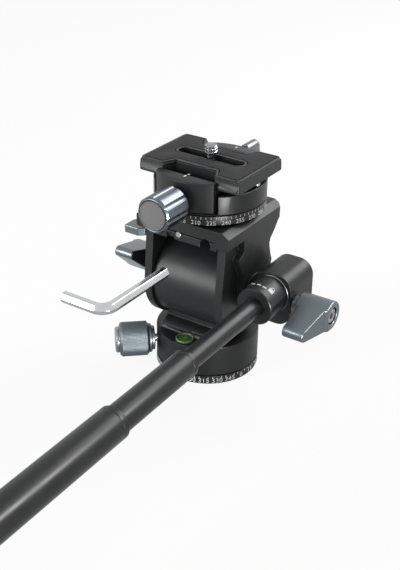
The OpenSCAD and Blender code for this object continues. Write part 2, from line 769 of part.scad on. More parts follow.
module wing_outline() {
  drop = acos((hub_r - wing_tip_r) / wing_reach);
  circle(r = hub_r);
  translate([-wing_reach, 0]) circle(r = wing_tip_r);
  polygon([
    [-hub_r * cos(drop), hub_r * sin(drop)],
    [-wing_reach - wing_tip_r * cos(drop), wing_tip_r * sin(drop)],
    [-wing_reach - wing_tip_r * cos(drop), -wing_tip_r * sin(drop)],
    [-hub_r * cos(drop), -hub_r * sin(drop)]
  ]);
}

module lever_body() difference() {
  union() {
    rod_x(neck_d, 0, hub_x0 + over);
    turned_x(hub_r, hub_x0, wing_x0 + over, edge);
    intersection() {
      slab_x(wing_x0, hub_len) wing_outline();
      slab_z(-2 * hub_d, 2 * hub_d) polygon([
        [wing_x0, -wing_reach - hub_r], [wing_x0, hub_r], [hub_len, hub_r], [hub_len, -wing_step_y],
        [hub_len - wing_step, -wing_step_y - wing_step],
        [hub_len - wing_step - wing_taper, -wing_reach - hub_r]
      ]);
    }
  }
  rod_x(stud_d + 2 * fit, -over, stud_in_lever + small_edge);
  rod_x(lever_screw_d + 2 * fit, stud_in_lever, hub_len);
  rod_x(lever_recess_d, lever_floor, hub_len + over);
}

module lever_screw() difference() {
  union() {
    turned_x(lever_screw_head_d / 2, lever_floor + fit, lever_floor + lever_screw_head_h, small_edge);
    rod_x(lever_screw_d, stud_in_lever + small_edge + fit, lever_floor + small_edge);
  }
  translate([lever_floor + small_edge, 0, 0]) rotate([0, 90, 0]) hex_bar(hex_recess_af, hub_len);
}

module tilt_lever() color(grey) on_tilt_lever() lever_body();
module tilt_lever_screw() color(steel) on_tilt_lever() lever_screw();
module wing_lever() color(grey) on_wing_lever() lever_body();
module wing_lever_screw() color(steel) on_wing_lever() lever_screw();
module panorama_lever() color(grey) on_panorama_lever() lever_body();
module panorama_lever_screw() color(steel) on_panorama_lever() lever_screw();

// Side lever

module side_lever() color(grey) on_side_lever() difference() {
  slab_z(-side_h / 2, side_h / 2) polygon([
    [side_x0, -side_front + side_cut_y], [side_x0 + side_cut_x, -side_front],
    [side_x1 - small_edge, -side_front], [side_x1, -side_front + small_edge],
    [side_x1, side_back - side_chamfer], [side_x1 - side_chamfer, side_back],
    [side_x0, side_back]
  ]);
  rod_x(side_stem_d + 2 * fit, side_x0 - over, side_x1 - 2 * over);
}

module side_lever_screw() color(steel) on_side_lever()
  rod_x(side_stem_d, arm_x0 + small_edge, side_x1 - 2 * over - fit);

// Panorama base

module panorama_base() color(dark) difference() {
  union() {
    rod_z(2 * pano_neck_r, platform_z1, ring_z0 + over);
    rod_z(2 * (upper_ring_bore_r - fit), ring_z0, ring_z1);
  }
  rod_z(2 * pano_bore_r, platform_z1 - over, ring_z1 + over);
}

module upper_scale_ring() color(black) rotate_extrude() polygon([
  [upper_ring_bore_r, ring_z0], [clamp_r - small_edge, ring_z0], [clamp_r, ring_z0 + small_edge],
  [clamp_r, ring_z1], [upper_ring_bore_r, ring_z1]
]);

// The shoulder screw that holds the clamp down on the platform
module panorama_retainer() color(steel) difference() {
  union() {
    rod_z(2 * pano_head_r, platform_z0 - pano_head_h - turn_gap / 2, platform_z0 - turn_gap / 2);
    rod_z(2 * pano_shank_r, platform_z0 - over, ledge_z);
    rod_z(2 * pano_screw_r, ledge_z - over, pano_screw_end);
  }
  translate([0, 0, platform_z0 - pano_head_h - turn_gap / 2 - over]) hex_bar(key_af, 2 * over);
}

module panorama_lock_screw() color(steel) on_panorama_lever()
  turned_x(panorama_screw_d / 2, spindle_r + small_edge - panorama_lever_y, stud_in_lever, small_edge);

// Handle

module handle_holder() color(black) on_handle() difference() {
  union() {
    slab_y(-holder_y1, holder_y0)
      round_box(holder_x0, holder_x1, holder_bottom, holder_top, holder_round);
    intersection() {
      rod_x(rosette_d, holder_x0, holder_x0 + holder_round);
      block(holder_x0, holder_x1, -holder_y1, holder_y0, -rosette_d, rosette_d);
    }
    translate([handle_x, 0, handle_rise]) rod_y(spigot_d, holder_y0 - over, spigot_y1);
  }
  rod_x(stud_d + 2 * fit, 0, holder_x1 + over);
  translate([handle_x, 0, handle_rise]) rod_y(2 * (inner_r + fit), inner_end_y - over, spigot_y1 + over);
}

module rosette_moving() color(steel) on_handle()
  translate([2 * (rosette_x0 + rosette_t) + rosette_gap, 0, 0]) mirror([1, 0, 0]) rosette(rosette_x0);

module handle_collar() color(black) on_tube() difference() {
  turned_y(collar_d / 2, collar_y0, collar_y1, small_edge);
  rod_y(2 * (inner_r + fit), collar_y0 - over, collar_y1 + over);
  rod_y(spigot_d + 2 * fit, collar_y0 - over, spigot_y1 + turn_gap);
}

module inner_tube() color(black) on_tube()
  tube_y(inner_r, inner_r - tube_wall, inner_end_y, inner_y1 + overlap);

module middle_tube() color(black) on_tube() difference() {
  turned_y(middle_r, inner_y1, middle_y1 + overlap, edge);
  rod_y(2 * middle_inner_r, inner_y1 - over, middle_y1 + overlap + over);
}

module middle_sleeve() color(dark) on_tube()
  tube_y(middle_inner_r - fit, inner_r + fit, inner_y1 + small_edge, inner_y1 + sleeve_len);

module grip_tube() color(black) on_tube() difference() {
  turned_y(grip_r, middle_y1, grip_y1, edge);
  rod_y(2 * grip_inner_r, middle_y1 - over, grip_y1 + over);
}

module grip_sleeve() color(dark) on_tube()
  tube_y(grip_inner_r - fit, middle_r + fit, middle_y1 + small_edge, middle_y1 + sleeve_len);

module grip_end_cap() color(rubber) on_tube() {
  turned_y(grip_r, grip_y1 + fit, grip_y1 + end_cap_t, 2 * edge);
  rod_y(2 * (grip_inner_r - fit), grip_y1 - end_cap_t, grip_y1 + edge);
}

// Clamp

// The dovetail space between the jaws: the plate's own profile, grown by grow
module plate_profile(grow) polygon([
  [-foot_half - grow, plate_z0 - grow], [foot_half + grow, plate_z0 - grow],
  [foot_half + grow, plate_z0 + flare_z0], [top_half + grow, plate_z0 + flare_z1],
  [top_half + grow, plate_z1 + over], [-top_half - grow, plate_z1 + over],
  [-top_half - grow, plate_z0 + flare_z1], [-foot_half - grow, plate_z0 + flare_z0]
]);

module plate_space(grow) slab_x(-2 * plate_half, 2 * plate_half) plate_profile(grow);

module clamp_body() color(black) difference() {
  union() {
    turned_z(clamp_r, clamp_z0, clamp_z1, small_edge);
    rod_z(2 * spindle_r, ledge_z + fit, clamp_z0 + over);
    block(-pano_neck_r, pano_neck_r, -pocket_y, top_half - edge, clamp_z1 - over, seat_z);
    difference() {
      intersection() {
        turned_z(clamp_r, clamp_z0, jaw_z1, small_edge);
        block(-jaw_half, jaw_half, 0, clamp_r, clamp_z0, jaw_z1);
      }
      plate_space(lip_gap);
    }
  }
  block(-pocket_half, pocket_half, -clamp_r - over, -pocket_y, clamp_z0 + edge, jaw_z1 + over);
  on_clamp_axis() rod_y(clamp_screw_d + 2 * fit, -clamp_screw_end - over, clamp_r);
  guide_pin_places() {
    rod_y(guide_pin_d + 2 * fit, pocket_y - guide_pin_len / 2 - small_edge, clamp_r);
    rod_y(spring_d + 4 * fit, pocket_y - spring_deep / 2 - fit, clamp_r);
  }
  rod_z(2 * (pano_screw_r + fit), platform_z0, pano_screw_end + fit);
}

module clamp_jaw() color(black) difference() {
  intersection() {
    turned_z(clamp_r, jaw_z0, jaw_z1, small_edge);
    block(-jaw_half, jaw_half, -clamp_r, -jaw_back_y, jaw_z0, jaw_z1);
  }
  plate_space(lip_gap);
  on_clamp_axis() rod_y(clamp_screw_d + 6 * fit, 0, clamp_r + over);
  guide_pin_places() {
    rod_y(guide_pin_d + 2 * fit, 0, jaw_back_y + guide_pin_len / 2 + over);
    rod_y(spring_d + 4 * fit, 0, jaw_back_y + spring_deep / 2 + fit);
  }
}

module guide_pin_places() on_clamp_axis()
  for (side = [-1, 1]) translate([side * guide_pin_x, 0, 0]) children();

module jaw_guide_pins() color(steel) guide_pin_places()
  rod_y(guide_pin_d, pocket_y - guide_pin_len / 2, pocket_y + guide_pin_len / 2);

module jaw_springs() color(steel) guide_pin_places()
  tube_y(spring_d / 2, guide_pin_d / 2 + 2 * fit, pocket_y - spring_deep / 2,
    jaw_back_y + spring_deep / 2);

module clamp_screw() color(steel) on_clamp_axis()
  turned_y(clamp_screw_r, -clamp_screw_end, clamp_knob_y1 - clamp_face_t - over, small_edge);

module clamp_knob() color(grey) on_clamp_axis() difference() {
  union() {
    turned_y(clamp_knob_d / 2, clamp_knob_y0, clamp_knob_y1, knob_edge);
    rod_y(clamp_boss_d, clamp_r + small_edge, clamp_knob_y0 + over);
  }
  for (i = [0 : clamp_flutes - 1]) rotate([0, flute_turn + i * 360 / clamp_flutes, 0])
    translate([clamp_knob_d / 2 + clamp_knob_d * flute_share / 2 - flute_depth, 0, 0])
      rod_y(clamp_knob_d * flute_share, clamp_knob_y0 - over, clamp_knob_y1 - 1.5 * knob_edge);
  rod_y(clamp_screw_d + 2 * fit, clamp_r, clamp_knob_y1 - clamp_face_t - over + fit);
  rod_y(clamp_face_d + 2 * fit, clamp_knob_y1 - clamp_face_t, clamp_knob_y1 + over);
}

module clamp_knob_cap() color("#7f8081") on_clamp_axis()
  turned_y(clamp_face_d / 2, clamp_knob_y1 - clamp_face_t + fit, clamp_knob_y1 + clamp_face_rise,
    small_edge / 2);

// Camera plate

module notch() polygon([
  [-notch_out, -over], [-notch_in, notch_depth], [notch_in, notch_depth], [notch_out, -over]
]);

module both_notches(half) for (side = [0, 1]) mirror([0, side]) translate([0, -half]) notch();

module slot_outline(w, len) {
  square([len - w, w], center = true);
  for (side = [-1, 1]) translate([side * (len - w) / 2, 0]) circle(d = w);
}

module quick_plate() color(black) difference() {
  intersection() {
    slab_x(-plate_half, plate_half) plate_profile(0);
    slab_z(plate_z0, plate_z1 - pad_t)
      round_box(-plate_half, plate_half, -foot_half, foot_half, plate_corner);
  }
  slab_z(plate_z0 - over, plate_z1 + over) both_notches(top_half);
  for (side = [0, 1]) mirror([0, side, 0])
    block(-notch_out, notch_out, top_half, foot_half + over, plate_z0 - over, plate_z1);
  slab_z(plate_z0 - over, plate_z1 + over) slot_outline(slot_w, slot_len);
  slab_z(plate_z0 - over, plate_z0 + slot_recess_h)
    slot_outline(slot_recess_w, slot_len + slot_recess_w - slot_w);
  stop_screw_places() rod_z(stop_screw_d + 2 * fit, plate_z0 - over, plate_z1 - pad_t - over);
}

module plate_pad() color(rubber) slab_z(plate_z1 - pad_t, plate_z1) difference() {
  round_box(-pad_half, pad_half, -pad_half_w, pad_half_w, plate_corner);
  both_notches(pad_half_w);
  slot_outline(slot_w + pad_inset, slot_len + pad_inset);
}

module stop_screw_places() for (side = [-1, 1]) translate([side * stop_screw_x, 0, 0]) children();

module plate_stop_screws() color(steel) stop_screw_places() difference() {
  rod_z(stop_screw_d, plate_z0 - stop_screw_drop, plate_z0 + stop_screw_len - over);
  translate([0, 0, plate_z0 - stop_screw_drop - over]) hex_bar(stop_screw_d / 2, 2 * over);
}

module camera_screw() color(steel) difference() {
  union() {
    rod_z(screw_head_d, plate_z0 + small_edge, plate_z0 + screw_head_h);
    rod_z(screw_neck_d, plate_z0 + screw_head_h - over, plate_z1 + camera_screw_rise - over);
    rod_z(screw_shank_d, plate_z0 + screw_head_h - over, plate_z1 - pad_t);
    for (i = [0 : thread_turns - 1]) {
      z1 = plate_z1 + camera_screw_rise - i * thread_pitch;
      translate([0, 0, z1 - thread_pitch]) rotate_extrude() polygon([
        [0, 0], [screw_neck_d / 2, 0], [camera_screw_d / 2, thread_pitch / 2 - crest_w / 2],
        [camera_screw_d / 2, thread_pitch / 2 + crest_w / 2], [screw_neck_d / 2, thread_pitch],
        [0, thread_pitch]
      ]);
    }
  }
  translate([0, 0, plate_z0]) hex_bar(key_af, screw_head_h - small_edge);
}

module screw_washer() color(steel)
  tube_z(screw_washer_d / 2, screw_shank_d / 2 + fit, washer_z1 - screw_washer_t, washer_z1);

// Hex key: the long leg lies along Y and the short leg along -X

module key_section() circle(d = 2 * key_af / sqrt(3), $fn = 6);

module key_corner() intersection() {
  rotate([0, 0, 45]) rotate_extrude() translate([key_bend, 0]) key_section();
  block(0, 2 * key_bend, -2 * key_bend, 0, -key_af, key_af);
}

module hex_key() color(steel) translate([key_x, key_bend_y, key_z]) {
  rotate([-90, 0, 0]) linear_extrude(key_long - key_bend) key_section();
  translate([-key_bend, -key_bend, 0]) rotate([0, -90, 0])
    linear_extrude(key_short - key_bend) rotate([0, 0, 90]) key_section();
  translate([-key_bend, 0, 0]) key_corner();
}

base_plate();
base_scale_ring();
thread_insert();
pan_spindle();
base_screws();
pan_retainer();
pan_thrust_washer();
pan_drag_discs();
pan_housing();
bubble_cup();
bubble_vial();
pan_knob();
pan_knob_cap();
pan_lock_screw();
tilt_barrel();
barrel_caps();
barrel_screws();
tilt_bushes();
barrel_seals();
tilt_drag_discs();
yoke();
tilt_shaft();
rosette_fixed();
handle_stud();
tilt_stud();
key_magnet();
tilt_lever();
tilt_lever_screw();
side_lever();
side_lever_screw();
panorama_base();
upper_scale_ring();
panorama_retainer();
panorama_lever();
panorama_lever_screw();
panorama_lock_screw();
handle_holder();
rosette_moving();
handle_collar();
inner_tube();
middle_tube();
middle_sleeve();
grip_tube();
grip_sleeve();
grip_end_cap();
wing_lever();
wing_lever_screw();
clamp_body();
clamp_jaw();
jaw_guide_pins();
jaw_springs();
clamp_screw();
clamp_knob();
clamp_knob_cap();
quick_plate();
plate_pad();
plate_stop_screws();
camera_screw();
screw_washer();
hex_key();
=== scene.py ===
# %% [markdown]
# # A fluid video head, dressed from its CAD frame
# A fluid head carries a camera on a tripod: it pans on the round base, tilts on the barrel
# between the two arms of the yoke, and a handle with telescopic tubes steers it. The CAD model
# holds every size and joint. This notebook gives each piece the form and finish that the eye
# expects of milled and turned aluminium. Lengths are written in millimetres, in the frame of
# the joint that carries the piece, and go into the meshes in metres.

# %% The frame that is dressed
import math

import bmesh
import bpy
import numpy as np
from mathutils import Matrix, Vector


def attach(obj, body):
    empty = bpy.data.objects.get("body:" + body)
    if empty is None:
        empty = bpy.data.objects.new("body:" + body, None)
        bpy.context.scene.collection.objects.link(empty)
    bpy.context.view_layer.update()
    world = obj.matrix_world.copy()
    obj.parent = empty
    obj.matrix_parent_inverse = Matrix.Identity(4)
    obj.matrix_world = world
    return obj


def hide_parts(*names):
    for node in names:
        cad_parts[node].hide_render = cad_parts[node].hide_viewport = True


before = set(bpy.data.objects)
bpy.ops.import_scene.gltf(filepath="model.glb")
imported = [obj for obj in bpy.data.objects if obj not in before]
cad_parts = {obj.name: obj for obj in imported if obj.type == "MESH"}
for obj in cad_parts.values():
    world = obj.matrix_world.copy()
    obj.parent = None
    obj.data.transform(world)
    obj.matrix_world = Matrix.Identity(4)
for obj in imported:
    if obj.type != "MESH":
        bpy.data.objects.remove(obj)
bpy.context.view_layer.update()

# %% [markdown]
# ## Places
# Each moving group is easiest to draw in its own frame: a lever along the axis that it turns
# on, a tube along its own length. A place is a 4x4 matrix, and places are chained by matrix
# products, read from left to right as one would walk from the base to the piece.

# %% Places as matrices
MM = 0.001


def shift(x=0.0, y=0.0, z=0.0):
    """A move by x, y and z millimetres."""
    m = np.eye(4)
    m[:3, 3] = (x, y, z)
    return m


def turn(axis, degrees):
    """A turn about the x, y or z axis, by the right hand rule."""
    m = np.eye(4)
    i, j = {"x": (1, 2), "y": (2, 0), "z": (0, 1)}[axis]
    c, s = math.cos(math.radians(degrees)), math.sin(math.radians(degrees))
    m[i, i], m[i, j], m[j, i], m[j, j] = c, -s, s, c
    return m


def flip(axis):
    """A mirror image across the plane that has this axis as its normal."""
    m = np.eye(4)
    m["xyz".index(axis), "xyz".index(axis)] = -1
    return m


HERE = np.eye(4)
ALONG_X = turn("y", 90)
ALONG_Y = turn("x", -90)
TILT_AXIS = shift(z=47.2)
PAN_LOCK = shift(z=13.5) @ turn("z", 222)
TILT_LEVER = shift(-26, 0, 47.2) @ flip("x") @ turn("x", -28)
WING_LEVER = shift(49, 0, 47.2) @ turn("x", 8)
PANORAMA_LEVER = shift(-6, 28.2, 81.75) @ turn("z", 90) @ turn("x", -79)
HANDLE = TILT_AXIS @ turn("x", 1.2) @ flip("y")
TUBE = HANDLE @ shift(38, 0, 4.5)
CLAMP_AXIS = shift(z=97.5) @ flip("y")
print("eight places, the handle tube starts at", np.round((TUBE @ [0, 0, 0, 1])[:3], 1))

# %% [markdown]
# ## From arrays to pieces
# A surface here is a grid of points: one parameter goes round a section, the other along it.
# Poles and seams are closed by merging points that coincide, and on a closed shell Blender can
# then work out by itself which side is out.

# %% Grids, lathes and softened corners
SHARP = 32


def new_object(name, mesh):
    """An object at the origin, whose place is in its mesh, shaded smooth below SHARP degrees."""
    bm = bmesh.new()
    bm.from_mesh(mesh)
    bmesh.ops.remove_doubles(bm, verts=bm.verts, dist=2e-6)
    bmesh.ops.dissolve_degenerate(bm, edges=bm.edges, dist=1e-6)
    bmesh.ops.recalc_face_normals(bm, faces=bm.faces)
    bm.to_mesh(mesh)
    bm.free()
    mesh.shade_smooth()
    mesh.set_sharp_from_angle(angle=math.radians(SHARP))
    thing = bpy.data.objects.new(name, mesh)
    bpy.context.scene.collection.objects.link(thing)
    return thing


def in_metres(points, place):
    """Points of a local frame, in millimetres, as points of the row frame, in metres."""
    return (np.asarray(points) @ place[:3, :3].T + place[:3, 3]) * MM


def grid_faces(rows, columns, close_rows, close_columns):
    """Index quads of a rows x columns grid, wrapped round where a direction is closed."""
    i, j = np.meshgrid(
        np.arange(rows if close_rows else rows - 1),
        np.arange(columns if close_columns else columns - 1),
        indexing="ij",
    )
    k, m = (i + 1) % rows, (j + 1) % columns
    quads = np.stack([i * columns + j, k * columns + j, k * columns + m, i * columns + m], -1)
    return quads.reshape(-1, 4)


def grid_piece(name, points, place, close_rows=False, close_columns=True):
    """A piece from an array of shape (rows, columns, 3)."""
    rows, columns = points.shape[:2]
    quads = grid_faces(rows, columns, close_rows, close_columns)
    mesh = bpy.data.meshes.new(name)
    mesh.from_pydata(in_metres(points.reshape(-1, 3), place).tolist(), [], quads.tolist())
    return new_object(name, mesh)


def eased(corners, radius=0.25, closed=False, steps=4):
    """Each corner of a line is replaced by a parabola: it leaves the one side and joins the other
    at `radius` from the corner, or at 0.45 of the side where that is shorter. A radius of nought
    keeps the corner sharp. Both may be given per corner."""
    p = np.asarray(corners, float)
    r = np.broadcast_to(np.asarray(radius, float), (len(p),)).copy()
    if not closed:
        r[[0, -1]] = 0
    before, after = np.roll(p, 1, 0) - p, np.roll(p, -1, 0) - p
    size_b = np.linalg.norm(before, axis=1)[:, None] + 1e-9
    size_a = np.linalg.norm(after, axis=1)[:, None] + 1e-9
    start = p + before / size_b * np.minimum(r[:, None], 0.45 * size_b)
    end = p + after / size_a * np.minimum(r[:, None], 0.45 * size_a)
    t = np.linspace(0, 1, steps + 1)[None, :, None]
    bend = (1 - t) ** 2 * start[:, None] + 2 * t * (1 - t) * p[:, None] + t**2 * end[:, None]
    bend = bend.reshape(-1, p.shape[1])
    keep = np.r_[True, np.linalg.norm(np.diff(bend, axis=0), axis=1) > 1e-6]
    return bend[keep]


def turned(name, profile, place, closed=False, around=128, waves=None):
    """A lathe: each (radius, height) of the profile is carried round the local Z axis. `waves`
    adds to the radius a number that depends on the angle and the height."""
    r, h = np.asarray(profile, float).T
    angle = np.arange(around) * 2 * np.pi / around
    radius = np.repeat(r[:, None], around, 1)
    if waves is not None:
        radius = radius + waves(angle[None, :], h[:, None], r[:, None])
    points = np.stack(
        [radius * np.cos(angle), radius * np.sin(angle), np.repeat(h[:, None], around, 1)], -1
    )
    return grid_piece(name, points, place, close_rows=closed)


def ring_profile(r0, r1, h0, h1, soft=0.25):
    """The closed section of a ring: inner radius r0, outer r1, from h0 to h1."""
    return eased([[r0, h0], [r1, h0], [r1, h1], [r0, h1]], soft, closed=True)


print("a ring's section has", len(ring_profile(1, 2, 0, 1)), "points")

# %% [markdown]
# ## Milled pieces
# The housing, the yoke and the clamp are milled, and the CAD solids already have their form.
# What they lack is the small rounding that a deburring tool leaves, which catches the light. A
# copy of the CAD mesh is merged, its flat faces are joined, and a Bevel modifier eases each edge.

# %% Eased copies, flat plates with holes, and cuts
def milled(node, width, segments=2):
    """A copy of a CAD node with every edge sharper than 30 degrees rounded by `width` mm."""
    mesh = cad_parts[node].data.copy()
    mesh.materials.clear()
    bm = bmesh.new()
    bm.from_mesh(mesh)
    bmesh.ops.remove_doubles(bm, verts=bm.verts, dist=3e-6)
    bmesh.ops.dissolve_limit(bm, angle_limit=math.radians(0.6), verts=bm.verts, edges=bm.edges)
    bm.to_mesh(mesh)
    bm.free()
    thing = new_object(node + "_milled", mesh)
    bevel = thing.modifiers.new("deburred", "BEVEL")
    bevel.width = width * MM
    bevel.segments = segments
    bevel.limit_method = "ANGLE"
    bevel.angle_limit = math.radians(30)
    bevel.use_clamp_overlap = False
    bevel.harden_normals = True
    bevel.miter_outer = "MITER_ARC"
    return thing


def settled(thing):
    """The same object with its modifiers worked into its mesh."""
    graph = bpy.context.evaluated_depsgraph_get()
    mesh = bpy.data.meshes.new_from_object(thing.evaluated_get(graph))
    thing.modifiers.clear()
    thing.data = mesh
    return thing


def carve(thing, cutter):
    """Takes the closed shape `cutter` out of `thing`."""
    cut = thing.modifiers.new("cut", "BOOLEAN")
    cut.object = cutter
    cut.operation = "DIFFERENCE"
    cut.solver = "EXACT"
    settled(thing)
    bpy.data.objects.remove(cutter)
    thing.data.shade_smooth()
    thing.data.set_sharp_from_angle(angle=math.radians(SHARP))
    return thing


def flat_plate(name, outlines, z0, z1, bevel, place=HERE):
    """A plate cut from sheet: closed outlines in X and Y, the inner ones are holes, with both
    rims rounded by `bevel`. It is a filled curve, made a mesh before it is put in place."""
    curve = bpy.data.curves.new(name, "CURVE")
    curve.dimensions, curve.fill_mode = "2D", "BOTH"
    curve.extrude, curve.bevel_depth = (z1 - z0) / 2 - bevel, bevel
    curve.bevel_resolution, curve.offset = 2, -bevel
    for outline in outlines:
        spline = curve.splines.new("POLY")
        spline.points.add(len(outline) - 1)
        flat = np.column_stack([outline, np.zeros(len(outline)), np.ones(len(outline))])
        spline.points.foreach_set("co", flat.ravel())
        spline.use_cyclic_u = True
    drawn = bpy.data.objects.new(name, curve)
    bpy.context.scene.collection.objects.link(drawn)
    graph = bpy.context.evaluated_depsgraph_get()
    mesh = bpy.data.meshes.new_from_object(drawn.evaluated_get(graph))
    bpy.data.objects.remove(drawn)
    points = np.zeros(len(mesh.vertices) * 3)
    mesh.vertices.foreach_get("co", points)
    points = points.reshape(-1, 3) + (0, 0, (z0 + z1) / 2)
    mesh.vertices.foreach_set("co", in_metres(points, place).ravel())
    return new_object(name, mesh)


print("CAD nodes to dress:", len(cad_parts))

# %% [markdown]
# ## Colours and one helper for nodes
# Colours are written as sRGB hex, as they would be picked from a photograph of the object, and
# are turned to the linear values that the renderer adds up.

# %% Linear colour and shader nodes
def linear(hex_colour):
    """Each sRGB channel below 0.04045 is divided by 12.92, and above it (c + 0.055) / 1.055 is
    raised to the power 2.4."""
    c = np.array([int(hex_colour[i : i + 2], 16) for i in (1, 3, 5)]) / 255
    c = np.where(c <= 0.04045, c / 12.92, ((c + 0.055) / 1.055) ** 2.4)
    return (*c.tolist(), 1.0)


def add(tree, kind, sockets=None, **settings):
    """A shader node of this kind, with its settings, and each socket set or linked."""
    node = tree.nodes.new("ShaderNode" + kind)
    for key, value in settings.items():
        setattr(node, key, value)
    for key, value in (sockets or {}).items():
        if isinstance(value, bpy.types.NodeSocket):
            tree.links.new(value, node.inputs[key])
        else:
            node.inputs[key].default_value = value
    return node


def per_mm(millimetres):
    """The noise scale whose cells are about this many millimetres across."""
    return 1000.0 / millimetres


def fresh(name):
    """An empty node material with its output node."""
    made = bpy.data.materials.new(name)
    made.use_nodes = True
    made.node_tree.nodes.clear()
    return made, made.node_tree, add(made.node_tree, "OutputMaterial")


print("mid grey is", round(linear("#808080")[0], 3), "in linear light")

# %% [markdown]
# ## Anodised aluminium
# Nearly all of the head is aluminium that was machined, blasted with fine glass beads and
# anodised. The beads leave dimples of about a tenth of a millimetre, which spread each
# reflection into a soft sheen. Black dye makes the layer nearly opaque, so it behaves like a dark
# glaze more than like bare metal. The real dimples are too fine for the picture, so they are
# drawn about three times as coarse, and shallow.

# %% Black anodised, bead blasted
def anodised(name, tint, rough, metal, dimple_mm=0.3, depth_mm=0.006, spread=0.06, level=0.5):
    """Colour and roughness wander by `spread` over some millimetres, and dimples give the grain."""
    made, tree, out = fresh(name)
    place = add(tree, "TexCoord").outputs["Object"]
    dimples = add(tree, "TexNoise", {"Vector": place, "Scale": per_mm(dimple_mm), "Detail": 2.0})
    clouds = add(tree, "TexNoise", {"Vector": place, "Scale": per_mm(9.0), "Detail": 3.0})
    tinted = add(tree, "ValToRGB", {"Fac": clouds.outputs["Fac"]})
    for end, sign in zip(tinted.color_ramp.elements, (-1, 1)):
        end.position = 0.5 + 0.2 * sign
        end.color = (*[v * (1 + sign * spread) for v in linear(tint)[:3]], 1.0)
    roughness = add(
        tree,
        "MapRange",
        {
            "Value": clouds.outputs["Fac"],
            "From Min": 0.3,
            "From Max": 0.7,
            "To Min": rough - 0.03,
            "To Max": rough + 0.03,
        },
    )
    bump = add(
        tree,
        "Bump",
        {"Strength": 0.5, "Distance": depth_mm * MM, "Height": dimples.outputs["Fac"]},
    )
    shader = add(
        tree,
        "BsdfPrincipled",
        {
            "Base Color": tinted.outputs["Color"],
            "Metallic": metal,
            "Roughness": roughness.outputs["Result"],
            "Specular IOR Level": level,
            "Normal": bump.outputs["Normal"],
        },
    )
    tree.links.new(shader.outputs["BSDF"], out.inputs["Surface"])
    return made


black_anodised = anodised("black_anodised_bead_blasted", "#202122", 0.38, 0.0, level=0.28)
black_bead = anodised("black_anodised_coarse_blasted", "#1a1b1c", 0.46, 0.0, 0.4, level=0.2)
black_turned = anodised(
    "black_anodised_fine_turned", "#222324", 0.33, 0.0, depth_mm=0.003, level=0.3
)
print("three black finishes")

# %% [markdown]
# ## Blue-grey metal
# The knobs and levers are polished before they are dyed a thin blue-grey, so the layer still
# shows the metal below: reflections keep their edges and take on the tint of the dye.

# %% Grey anodised, polished
grey_anodised = anodised("grey_anodised_polished", "#8d969b", 0.26, 1.0, 0.5, 0.0008, 0.01)
grey_knurled = anodised("grey_anodised_knurled", "#6a7276", 0.42, 1.0, 0.5, 0.0006, 0.01)
grey_knob = anodised("grey_anodised_bright_cut", "#656d72", 0.27, 1.0, 0.5, 0.0006, 0.01)
grey_lever = anodised("grey_anodised_satin", "#6b7276", 0.33, 1.0, 0.35, 0.0015, 0.01)
face_grey = anodised("grey_anodised_face", "#6a6a6b", 0.55, 0.0, 0.4, 0.001, 0.01, level=0.3)
print("five grey finishes")

# %% [markdown]
# ## Steel, nickel and brass
# Screws and shafts are machined steel, the hex key is nickel plated, and the friction shoe and
# washer are brass. Their patterns are faint, since these pieces are small or hidden.

# %% Bare metals
# A bright metal grey for the ring in front of the handle holder: a painted highlight standing in
# for the glint on that black ring's edge.
painted_highlight_grey = anodised("painted_edge_highlight_grey", "#77797b", 0.3, 1.0, 0.3, 0.0008, 0.01)
screw_steel = anodised("steel_turned_screw", "#8e9194", 0.24, 1.0, 0.25, 0.0008, 0.02)
steel = anodised("steel_machined", "#a2a5a8", 0.27, 1.0, 0.25, 0.001, 0.02)
dull_steel = anodised("steel_blackened", "#9a9da0", 0.34, 1.0, 0.25, 0.001, 0.02)
nickel = anodised("nickel_plated_key", "#c3c4c5", 0.17, 1.0, 0.6, 0.0005, 0.01)
brass = anodised("brass_machined", "#c9a86a", 0.3, 1.0, 0.25, 0.002, 0.03)
print("three steels, cut aluminium, nickel and brass")

# %% [markdown]
# ## Plastic and rubber
# Drag discs and sleeves are moulded acetal. The camera plate's pad and the cap of the grip are
# rubber with a fine matt texture of about a fifth of a millimetre.

# %% Moulded plastic and matt rubber
drag_plastic = anodised("acetal_natural_moulded", "#d9d4c6", 0.5, 0.0, 0.6, 0.003, 0.02)
sleeve_plastic = anodised("acetal_black_moulded", "#242526", 0.45, 0.0, 0.6, 0.003, 0.02)
rubber = anodised("rubber_black_matt", "#2f2f30", 0.72, 0.0, 0.2, 0.015, 0.03, level=0.2)
print("plastic and rubber")

# %% [markdown]
# ## Paint, glass and the level's liquid
# The degree marks are silk-screened white ink. The spirit level is a clear acrylic dome over a
# green liquid, in which a bubble floats.

# %% White ink and green liquid
white_ink = anodised("white_ink_printed", "#e6e6e6", 0.5, 0.0, 0.3, 0.001, 0.02, level=0.3)
vial_green = anodised("spirit_level_liquid", "#417029", 0.12, 0.0, 1.2, 0.0005, 0.08)
vial_rim = anodised("acrylic_rim_moulded", "#6b7a62", 0.15, 0.0, 0.8, 0.0005, 0.04)
print("ink and level")

# %% [markdown]
# ## Dressing a piece
# One call gives a piece its finish and the body it rides on, and hides the CAD nodes that it
# stands for.


def dress(thing, body, finish, *nodes):
    """Finish and body; the CAD nodes stood for are hidden."""
    thing.data.materials.clear()
    thing.data.materials.append(finish)
    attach(thing, body)
    if nodes:
        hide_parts(*nodes)
    return thing


# %% [markdown]
# ## The base
# A black ring with the lower degree scale sits on the tripod, and the pan housing turns on it
# above a dark seam less than half a millimetre high.

# %% Base ring and pan housing
base_ring = turned(
    "base_ring_turned",
    eased([[23.4, 0.05], [25.6, 0.0], [26, 0.4], [26, 4.5], [23.4, 4.5]], 0.15, closed=True),
    HERE,
    closed=True,
    around=192,
)
dress(base_ring, "base", black_turned, "base_scale_ring")
housing = dress(milled("pan_housing", 0.3), "pan", black_anodised, "pan_housing")
print("base ring", len(base_ring.data.polygons), "faces")

